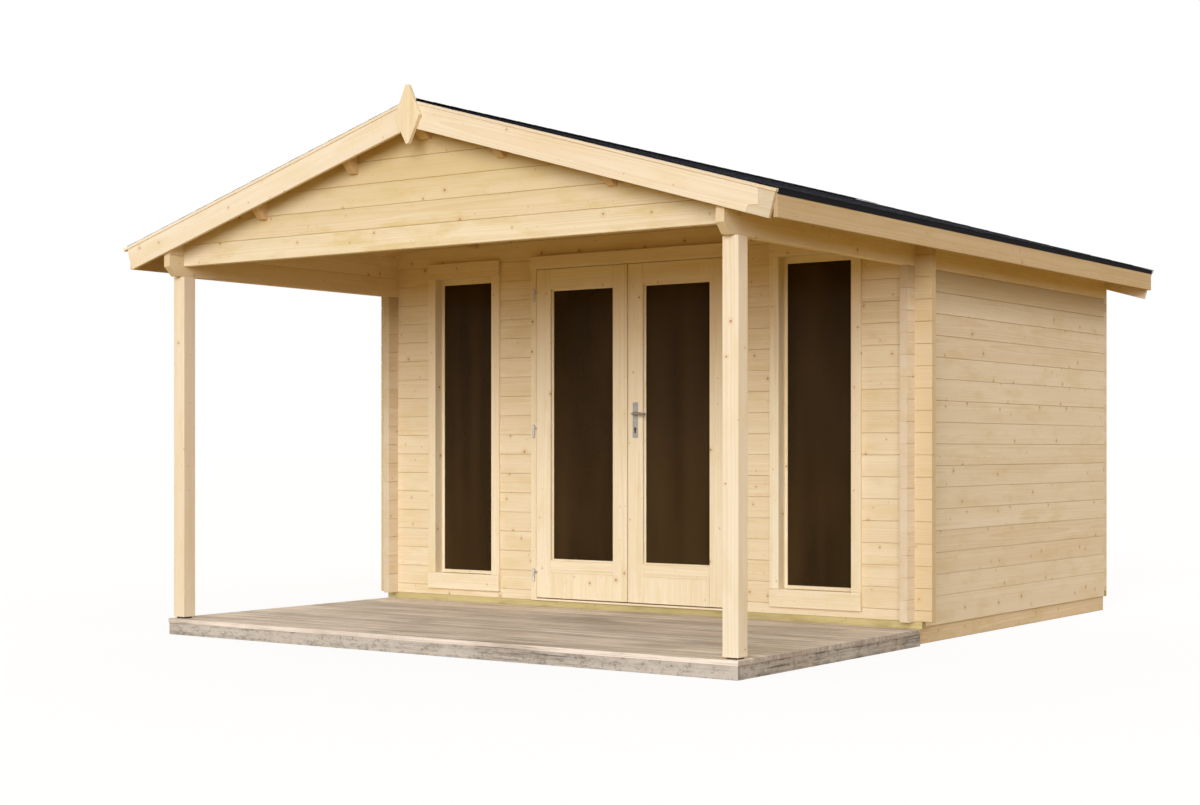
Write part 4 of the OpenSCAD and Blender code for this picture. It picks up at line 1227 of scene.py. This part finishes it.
class SHED_OT_gable_trim(bpy.types.Operator):
    """Hangs the bargeboards with their capping battens, the let-in end and the finial"""

    bl_idname = "shed.gable_trim"
    bl_label = "Bargeboards and finial"

    def execute(self, context):
        proud, run = 0.004, {"left": 0.030, "right": 0.004}
        head = capped(0.0)
        for end, y in (("front", ROOF_FRONT - TRIM), ("rear", ROOF_REAR)):
            cap_y = y - proud if end == "front" else y
            for side, s, seed in (("left", -1, 91), ("right", 1, 92)):
                node = f"{end}_{side}_barge"
                trim = Timbers(node + "_board", seed + (5 if end == "rear" else 0))
                outline = [(0.0, head), (EAVES, capped(EAVES)), barge_foot(BARGE[end])]
                if node == "front_right_barge":
                    outline = [(0.0, head), *self.let_in(0.0, 0.0)]
                outline.append((0.0, head - BARGE[end] / FLAT))
                trim.prism(sided(s, outline), y, y + TRIM, downhill(s))
                tip = EAVES + run[side] * FLAT
                cap = [(0.0, head), (tip, capped(tip)), (tip + CAP * SLANT, capped(tip) + CAP * FLAT)]
                cap.append((0.0, head + CAP / FLAT))
                trim.prism(sided(s, cap), cap_y, cap_y + TRIM + proud, downhill(s))
                trim.piece("trim", "shed", "trim_wood", node)
        splice = Timbers("barge_let_in_end", 98)
        gap = 0.0004
        top, *joint = self.let_in(gap, gap)
        outline = [top, (EAVES, capped(EAVES) - gap), barge_foot(BARGE["front"]), *joint[::-1]]
        splice.prism(outline, ROOF_FRONT - TRIM, ROOF_FRONT, downhill(1))
        splice.piece("patch", "shed", "trim_wood", "barge_splice")
        self.finial(head - 0.068)
        return {"FINISHED"}

    def let_in(self, off, down):
        """Stepped joint of the let-in end, from the top of the bargeboard to its underside."""
        deep = BARGE["front"]
        joint = EAVES - 0.084
        step = capped(EAVES) - deep * FLAT * 0.44
        toe = joint - 0.050
        heel = toe - 0.012
        soffit = capped(0.0) - deep / FLAT - heel * RISE
        stepped = [(joint + off, capped(joint) - down), (joint + off, step - down), (toe + off, step - down)]
        return [*stepped, (heel + off, soffit)]

    def finial(self, middle):
        """A kite-shaped board over the joint of the front bargeboards."""
        lowest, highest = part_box("finial")
        tip, wing = 0.0085, highest.x
        kite = [(-tip, highest.z), (tip, highest.z), (wing, middle)]
        kite += [(tip, lowest.z), (-tip, lowest.z), (-wing, middle)]
        board = Timbers("finial_board", 99)
        board.prism(kite, lowest.y, highest.y, UP, 0.0025)
        board.piece("finial", "shed", "trim_wood", "finial")


# Windows and doors


class SHED_OT_windows(bpy.types.Operator):
    """Fits the linings, beads, trims and panes of the two windows"""

    bl_idname = "shed.windows"
    bl_label = "Windows"

    def execute(self, context):
        for side, seed in (("left", 101), ("right", 102)):
            self.window(f"{side}_window_frame", f"{side}_window_glass", seed)
            dress(f"{side}_window_glass", "pane")
        return {"FINISHED"}

    def window(self, node, glass, seed):
        lowest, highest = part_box(node)
        pane_low, pane_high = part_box(glass)
        groove, bead, head_bead, bead_deep, slim = 0.010, 0.018, 0.036, 0.005, 0.0012
        lining, proud, shy, hair = 0.022, 0.0005, 0.001, 0.0004
        left, right = pane_low.x + groove, pane_high.x - groove
        foot, head = pane_low.z + groove, pane_high.z - groove
        x0, x1, z0, z1 = left - bead, right + bead, foot - bead, head + head_bead
        back = highest.y
        work = Timbers(node + "_joinery", seed)
        tall = (z0 - lining, z1 + lining)
        stiles = [(x, x + lining, *tall) for x in (x0 - lining, x1)]
        rails = [(x0, x1, z, z + lining) for z in (z0 - lining, z1)]
        work.surround((WALL_Y - proud, back), stiles, rails)
        for ys in ((pane_low.y - bead_deep, pane_low.y), (pane_high.y, back - shy)):
            stiles = [(x0, left, z0, z1), (right, x1, z0, z1)]
            work.surround(ys, stiles, [(left, right, z0, foot), (left, right, head, z1)], slim)
        step, over = 0.004, 0.002
        tall = (z0 + hair, z1 - hair)
        stiles = [(lowest.x + over, x0, *tall), (x1, highest.x - over, *tall)]
        work.surround((lowest.y + step, WALL_Y), stiles, [])
        rails = [(lowest.x, highest.x, lowest.z, z0), (lowest.x, highest.x, z1, highest.z)]
        work.surround((lowest.y, WALL_Y), [], rails, EASED)
        work.piece("joinery", "shed", "trim_wood", node)


class SHED_OT_doors(bpy.types.Operator):
    """Builds the door frame, the board over it and the two glazed leaves"""

    bl_idname = "shed.doors"
    bl_label = "Doors"

    def execute(self, context):
        self.frame()
        lone_board("door_head_trim", 113, "door_head_board", ALONG_X, "joinery", "trim_wood")
        for side, seed in (("left", 114), ("right", 115)):
            self.leaf(side, seed)
            dress(f"{side}_door_glass", "pane")
        return {"FINISHED"}

    def frame(self):
        lowest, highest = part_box("door_frame")
        jamb, lap, stop, play = 0.036, 0.004, 0.022, 0.006
        inside, tall = highest.x - jamb, (lowest.z, highest.z)
        leaf_back = high("left_door").y + play
        head, sill = high("left_door").z + play, low("left_door").z - play
        work = Timbers("door_frame_joinery", 111)
        for s in (-1, 1):
            depths = (lowest.y, WALL_Y, WALL_Y + THICK, highest.y)
            for ys, set_in in zip(zip(depths, depths[1:]), (0.0, lap, 0.0)):
                self.upright(work, s, (inside, highest.x - set_in), ys, tall)
            self.upright(work, s, (inside - stop, inside), (leaf_back, highest.y), (sill, head))
        work.board((-inside, lowest.y, head), (inside, highest.y, highest.z), ALONG_X)
        work.board((-inside + stop, leaf_back, head - stop), (inside - stop, highest.y, head), ALONG_X)
        work.board((-inside, lowest.y, lowest.z), (inside, highest.y, sill), ALONG_X)
        work.piece("joinery", "shed", "trim_wood", "door_frame")
        seal = Timbers("door_seals", 112)
        near, far, thin, sunk = lowest.y + 0.006, lowest.y + 0.014, 0.0032, 0.001
        for s in (-1, 1):
            self.upright(seal, s, (inside - thin, inside + sunk), (near, far), (sill, head))
        seal.board((-inside + thin, near, head - thin), (inside - thin, far, head + sunk), ALONG_X, 0.0008)
        seal.piece("joinery", "shed", "trim_wood")

    def upright(self, work, s, xs, ys, zs):
        near, far = xs if s > 0 else (-xs[1], -xs[0])
        work.surround(ys, [(near, far, *zs)], [])

    def leaf(self, side, seed):
        """Stiles, rails, upright kick boards and glazing beads, and a cover strip on the left leaf."""
        node = f"{side}_door"
        lowest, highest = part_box(node)
        pane_low, pane_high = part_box(f"{side}_door_glass")
        stile, top_rail, bottom_rail, rail, moulding = 0.100, 0.118, 0.219, 0.056, 0.015
        hair, gap, bite, set_back, shy = 0.0004, 0.0003, 0.001, 0.0012, 0.0006
        front, back = lowest.y, highest.y
        left, right = lowest.x + stile, highest.x - stile
        foot, head = lowest.z + bottom_rail, highest.z - top_rail
        x0, x1, kick = left + hair, right - hair, foot - rail - moulding
        work = Timbers(node + "_joinery", seed)
        work.board(lowest, (left, back, highest.z), UP)
        work.board((right, front, lowest.z), highest, UP)
        work.board((x0, front, head), (x1, back, highest.z), ALONG_X)
        work.board((x0, front, foot - rail), (x1, back, foot), ALONG_X, 0.0015)
        work.board((x0, front + set_back, kick), (x1, back, foot - rail), ALONG_X, EASED)
        shares = (0.0, 0.21, 0.36, 0.57, 0.74, 0.88, 1.0)
        cuts = [x0 + (x1 - x0) * share for share in shares]
        boards = [(p, q - gap, lowest.z, kick) for p, q in zip(cuts, cuts[1:])]
        work.surround((front + hair, back), boards, [], 0.0008)
        bead, deep = 0.009, 0.008
        stiles = [(left - bite, left + bead, foot, head), (right - bead, right + bite, foot, head)]
        xs = (left + bead, right - bead)
        rails = [(*xs, foot - bite, foot + bead), (*xs, head - bead, head + bite)]
        for ys in ((pane_low.y - deep, pane_low.y - gap), (pane_high.y + gap, back - shy)):
            work.surround(ys, stiles, rails, 0.0025)
        if side == "left":
            wide, edge, proud, sunk = 0.040, 0.0005, 0.0022, 0.002
            strip = (highest.x - wide, highest.x - edge, lowest.z + bite, highest.z - bite)
            work.surround((front - proud, front + sunk), [strip], [], 0.0012)
        work.piece("joinery", f"{side}_leaf", "trim_wood", node)


# Ironmongery


def tube(shape, path, radii, sides=14):
    """A round bar along a path, with closed ends."""
    points = [Vector(p) for p in path]
    rows = []
    normal = None
    for i, p in enumerate(points):
        run = (points[min(i + 1, len(points) - 1)] - points[max(i - 1, 0)]).normalized()
        if normal is None:
            normal = run.orthogonal().normalized()
        normal = (normal - run * normal.dot(run)).normalized()
        rows.append(ring(shape, p, normal, run.cross(normal), radii[i], sides))
    skin(shape, rows)


def block(shape, s, xs, ys, zs):
    """A square bar on the left (-1) or right (1) side."""
    xs = sorted(s * x for x in xs)
    corners = [shape.verts.new((x, y, z)) for z in zs for y in ys for x in xs]
    for side in BOX_SIDES:
        shape.faces.new([corners[i] for i in side])


def metal_piece(shape, name, finish, body, *nodes, smooth=True):
    bmesh.ops.recalc_face_normals(shape, faces=shape.faces[:])
    mesh = plain_mesh(name, shape, finish)
    if smooth:
        mesh.shade_smooth()
        mesh.set_sharp_from_angle(angle=math.radians(38))
    settle(add_object(name, mesh), body, "steel", *nodes)


class SHED_OT_ironmongery(bpy.types.Operator):
    """Fits the lever, its plates and the hinges"""

    bl_idname = "shed.ironmongery"
    bl_label = "Ironmongery"

    def execute(self, context):
        lowest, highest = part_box("handle_plates")
        x = (lowest.x + highest.x) / 2
        z = (low("door_lever").z + high("door_lever").z) / 2
        self.lever(x, z)
        plates = dress("handle_plates", "plate")
        weld = plates.modifiers.new("weld", "WELD")
        weld.merge_threshold = 0.00002
        bevel = plates.modifiers.new("eased", "BEVEL")
        bevel.width, bevel.segments = 0.0011, 2
        bevel.limit_method, bevel.angle_limit = "ANGLE", math.radians(40)
        self.lock(x, z - 0.085, lowest.y, highest.y)
        self.hinges()
        return {"FINISHED"}

    def lock(self, x, z, front, back):
        """Ends of the lock cylinder, a little proud of both plates."""
        proud, deep, round_end, tail, drop = 0.0006, 0.002, 0.0082, 0.0048, 0.024
        turns = [math.radians(-50 + 280 * i / 12) for i in range(13)]
        outline = [(tail, -drop), *[(round_end * math.cos(t), round_end * math.sin(t)) for t in turns]]
        outline.append((-tail, -drop))
        shape = bmesh.new()
        for ys in ((front - proud, front + deep), (back - deep, back + proud)):
            skin(shape, [[shape.verts.new((x + a, y, z + b)) for a, b in outline] for y in ys])
        metal_piece(shape, "lock_cylinder", "lock", "right_leaf", smooth=False)

    def lever(self, x, z):
        """A handle on each side: out from the collar, round a bend and along to a drooping tip."""
        lowest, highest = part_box("door_lever")
        radius, swell, bend, droop, sunk = 0.0066, 0.0008, 0.012, 0.0035, 0.010
        inset, rounding, tip_radius = 0.007, 0.0008, 0.0038
        end = highest.x - 0.001
        shape = bmesh.new()
        sides = ((low("right_door").y, lowest.y, -1), (high("right_door").y, highest.y, 1))
        for face, tip, out in sides:
            bar = tip - out * inset
            path = [(x, face - out * sunk, z), (x, bar - out * bend, z)]
            for i in range(1, 7):
                turn = math.pi / 2 * i / 6
                path.append((x + bend * (1 - math.cos(turn)), bar - out * bend * (1 - math.sin(turn)), z))
            radii = [radius] * len(path)
            for i in range(1, 9):
                share = i / 8
                path.append((x + bend + (end - x - bend) * share, bar, z - droop * share * share))
                radii.append(radius + swell * math.sin(math.pi * share))
            path.append((end + rounding, bar, z - droop))
            tube(shape, path, [*radii, tip_radius])
            collar = [(x, face + out * d, z) for d in (0.0052, 0.0058, 0.0100, 0.0112)]
            tube(shape, collar, [0.0100, 0.0108, 0.0108, 0.0092], sides=24)
        metal_piece(shape, "lever_handles", "steel", "lever", "door_lever")

    def hinges(self):
        """Three pairs of knuckles on each side, with short tangs into leaf and frame."""
        lowest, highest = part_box("right_hinges")
        leaf_low, leaf_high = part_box("right_door")
        radius, tall, gap, tang = 0.0065, 0.0347, 0.0006, 0.004
        x, y = highest.x - radius, lowest.y + radius
        edge = leaf_high.x
        middle = (leaf_low.z + leaf_high.z) / 2 - 0.020
        feet = [low("frame_hinges").z, middle, high("frame_hinges").z - tall]
        for side, s in (("left", -1), ("right", 1)):
            shape = bmesh.new()
            for z in feet:
                up = z + tall + gap
                self.knuckle(shape, s * x, y, up, up + tall, radius, 1)
                zs = (up + tall / 2 - tang, up + tall / 2 + tang)
                block(shape, s, (edge - tang, x), (y - tang / 2, y + tang / 2), zs)
                block(shape, s, (edge - 2 * tang, edge), (y - tang / 2, leaf_low.y), zs)
            metal_piece(shape, f"{side}_leaf_hinges", "hinge", f"{side}_leaf", f"{side}_hinges")
        shape = bmesh.new()
        for s in (-1, 1):
            for z in feet:
                self.knuckle(shape, s * x, y, z, z + tall, radius, -1)
                zs = (z + tall / 2 - tang, z + tall / 2 + tang)
                block(shape, s, (x - tang / 2, x + tang / 2), (y, low("door_frame").y), zs)
        metal_piece(shape, "frame_hinge_knuckles", "hinge", "shed", "frame_hinges")

    def knuckle(self, shape, x, y, z0, z1, radius, way):
        """A barrel with a small pin head on its upper (1) or lower (-1) end."""
        stops = [(z0, 0.9), (z0 + 0.0006, 1.0), (z1 - 0.0006, 1.0), (z1, 0.9)]
        end = z1 if way > 0 else z0
        pin = [(end + way * rise, share) for rise, share in ((0.0002, 0.7), (0.003, 0.55), (0.0042, 0.2))]
        stops = stops + pin if way > 0 else pin[::-1] + stops
        tube(shape, [(x, y, z) for z, _ in stops], [radius * share for _, share in stops], sides=18)


# Nails


class SHED_OT_nails(bpy.types.Operator):
    """Drives the nails of the trims"""

    bl_idname = "shed.nails"
    bl_label = "Nails"

    def execute(self, context):
        spots = []
        for side in ("left", "right"):
            spots += self.window_nails(*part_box(f"{side}_window_frame"))
        lowest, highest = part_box("door_head_board")
        for share in (0.03, 0.35, 0.65, 0.97):
            for z in (lowest.z + 0.02, highest.z - 0.02):
                spots.append(((lowest.x + (highest.x - lowest.x) * share, lowest.y, z), -ALONG_Y))
        spots += self.barge_nails() + self.fascia_nails()
        fixings("trim_nails", spots, 0.0026, 0.0005, 4)
        return {"FINISHED"}

    def window_nails(self, lowest, highest):
        """Nails in the cross boards, and in the uprights, which lie a step deeper."""
        spots = []
        for z in (lowest.z + 0.03, lowest.z + 0.07, highest.z - 0.03, highest.z - 0.065):
            for share in (0.06, 0.5, 0.94):
                spots.append(((lowest.x + (highest.x - lowest.x) * share, lowest.y, z), -ALONG_Y))
        rows, margin, inset, step = 5, 0.16, 0.038, 0.004
        for i in range(rows):
            z = lowest.z + margin + (highest.z - lowest.z - 2 * margin) * i / (rows - 1)
            for x in (lowest.x + inset, highest.x - inset):
                spots.append(((x, lowest.y + step, z), -ALONG_Y))
        return spots

    def barge_nails(self):
        spots = []
        middle = capped(0.0) - BARGE["front"] / 2 / FLAT
        count = round(ROOF_EDGE / sizes().nail_spacing)
        for i in range(1, count + 1):
            x = ROOF_EDGE * i / count - 0.03
            for s in (-1, 1):
                for off in (-0.022, 0.022):
                    z = middle - x * RISE + off
                    spots.append(((s * x, ROOF_FRONT - TRIM, z), -ALONG_Y))
                    spots.append(((s * x, ROOF_REAR + TRIM, z), ALONG_Y))
        return spots

    def fascia_nails(self):
        spots = []
        lowest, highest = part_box("right_fascia")
        count, margin = round((highest.y - lowest.y) / sizes().nail_spacing), 0.03
        for i in range(count + 1):
            y = lowest.y + margin + (highest.y - lowest.y - 2 * margin) * i / count
            for z in (lowest.z + 0.025, lowest.z + 0.075):
                for s in (-1, 1):
                    spots.append(((s * highest.x, y, z), s * ALONG_X))
        return spots


# Stage


class SHED_OT_stage(bpy.types.Operator):
    """Sets up the floor, the light and the camera"""

    bl_idname = "shed.stage"
    bl_label = "Stage"

    def execute(self, context):
        self.floor()
        self.light(context.scene)
        self.camera(context.scene)
        context.scene.view_settings.view_transform = "Standard"
        return {"FINISHED"}

    def floor(self):
        mesh = bpy.data.meshes.new("floor")
        far = 300.0
        mesh.from_pydata([(-far, -far, 0), (far, -far, 0), (far, far, 0), (-far, far, 0)], [], [(0, 1, 2, 3)])
        b = Finish("pale_floor")
        seen = b.node("ShaderNodeLightPath", out="Is Camera Ray")
        warm_bounce, pale, glow, glow_share = (0.48, 0.335, 0.115), (0.95, 0.95, 0.95), 1.06, 0.8
        paint = b.node("ShaderNodeBsdfDiffuse", {}, {"Color": b.blend(seen, warm_bounce, pale)})
        white = b.node("ShaderNodeEmission", {}, {"Color": (1.0, 1.0, 1.0), "Strength": glow})
        b.close(b.node("ShaderNodeMixShader", {}, {0: seen * glow_share, 1: paint, 2: white}))
        mesh.materials.append(b.made)
        add_object("floor", mesh)

    def light(self, scene):
        scene.world = bpy.data.worlds.new("pale_sky")
        scene.world.use_nodes = True
        b = Bench(scene.world.node_tree)
        camera = b.node("ShaderNodeLightPath", out="Is Camera Ray")
        seen = camera + camera.other("Is Glossy Ray") + camera.other("Is Transmission Ray")
        sky = b.node("ShaderNodeBackground", {}, {"Color": (1.0, 0.88, 0.55), "Strength": 0.50})
        white = b.node("ShaderNodeBackground", {}, {"Color": (1.0, 1.0, 1.0), "Strength": 1.0})
        whole = b.node("ShaderNodeMixShader", {}, {0: seen, 1: sky, 2: white})
        b.node("ShaderNodeOutputWorld", {}, {"Surface": whole})
        self.sun("key_sun", 2.5, 38, (-0.34, 0.90, -0.25))
        self.sun("side_sun", 0.72, 80, (-0.92, 0.22, -0.28), (0.92, 1.0, 1.42))
        self.sun("back_sun", 0.7, 90, (0.60, -0.70, -0.40))

    def sun(self, name, strength, spread, aim, tint=(0.94, 1.0, 1.20)):
        lamp = bpy.data.lights.new(name, "SUN")
        lamp.energy, lamp.angle, lamp.color = strength, math.radians(spread), tint
        made = add_object(name, lamp)
        made.rotation_mode = "QUATERNION"
        made.rotation_quaternion = Vector(aim).to_track_quat("-Z", "Y")

    def camera(self, scene):
        frame_width, focal, drop = 1200.0, 1910.3, 46.24
        lens = bpy.data.cameras.new("camera")
        lens.sensor_width = 36.0
        lens.lens = focal / frame_width * lens.sensor_width
        lens.shift_y = drop / frame_width
        lens.clip_end = 1000.0
        made = add_object("camera", lens)
        made.location = (6.1526, -9.3546, 1.0113)
        made.rotation_euler = (math.radians(90), 0, math.radians(35.471))
        scene.camera = made


class SHED_PT_panel(bpy.types.Panel):
    """Lists the settings and steps of the shed in the sidebar"""

    bl_idname = "SHED_PT_panel"
    bl_label = "Shed"
    bl_space_type = "VIEW_3D"
    bl_region_type = "UI"
    bl_category = "Shed"

    def draw(self, context):
        for group in (context.scene.shed_sizes, context.scene.shed_colours):
            for name in group.__annotations__:
                self.layout.prop(group, name)
        for step in STEPS:
            self.layout.operator(step.bl_idname)


STEPS = (
    SHED_OT_base,
    SHED_OT_walls,
    SHED_OT_porch,
    SHED_OT_deck,
    SHED_OT_roof,
    SHED_OT_gable_trim,
    SHED_OT_windows,
    SHED_OT_doors,
    SHED_OT_ironmongery,
    SHED_OT_nails,
    SHED_OT_stage,
)
CLASSES = (ShedSizes, ShedColours, *STEPS, SHED_PT_panel)


def register():
    for kind in CLASSES:
        bpy.utils.register_class(kind)
    bpy.types.Scene.shed_sizes = bpy.props.PointerProperty(type=ShedSizes)
    bpy.types.Scene.shed_colours = bpy.props.PointerProperty(type=ShedColours)


def unregister():
    del bpy.types.Scene.shed_colours
    del bpy.types.Scene.shed_sizes
    for kind in reversed(CLASSES):
        bpy.utils.unregister_class(kind)


def main():
    register()
    make_finishes()
    LOOMS["row"] = row_loom()
    LOOMS["fixing"] = fixing_loom()
    bpy.ops.shed.base()
    bpy.ops.shed.walls()
    bpy.ops.shed.porch()
    bpy.ops.shed.deck()
    bpy.ops.shed.roof()
    bpy.ops.shed.gable_trim()
    bpy.ops.shed.windows()
    bpy.ops.shed.doors()
    bpy.ops.shed.ironmongery()
    bpy.ops.shed.nails()
    bpy.ops.shed.stage()


if __name__ == "__main__":
    main()
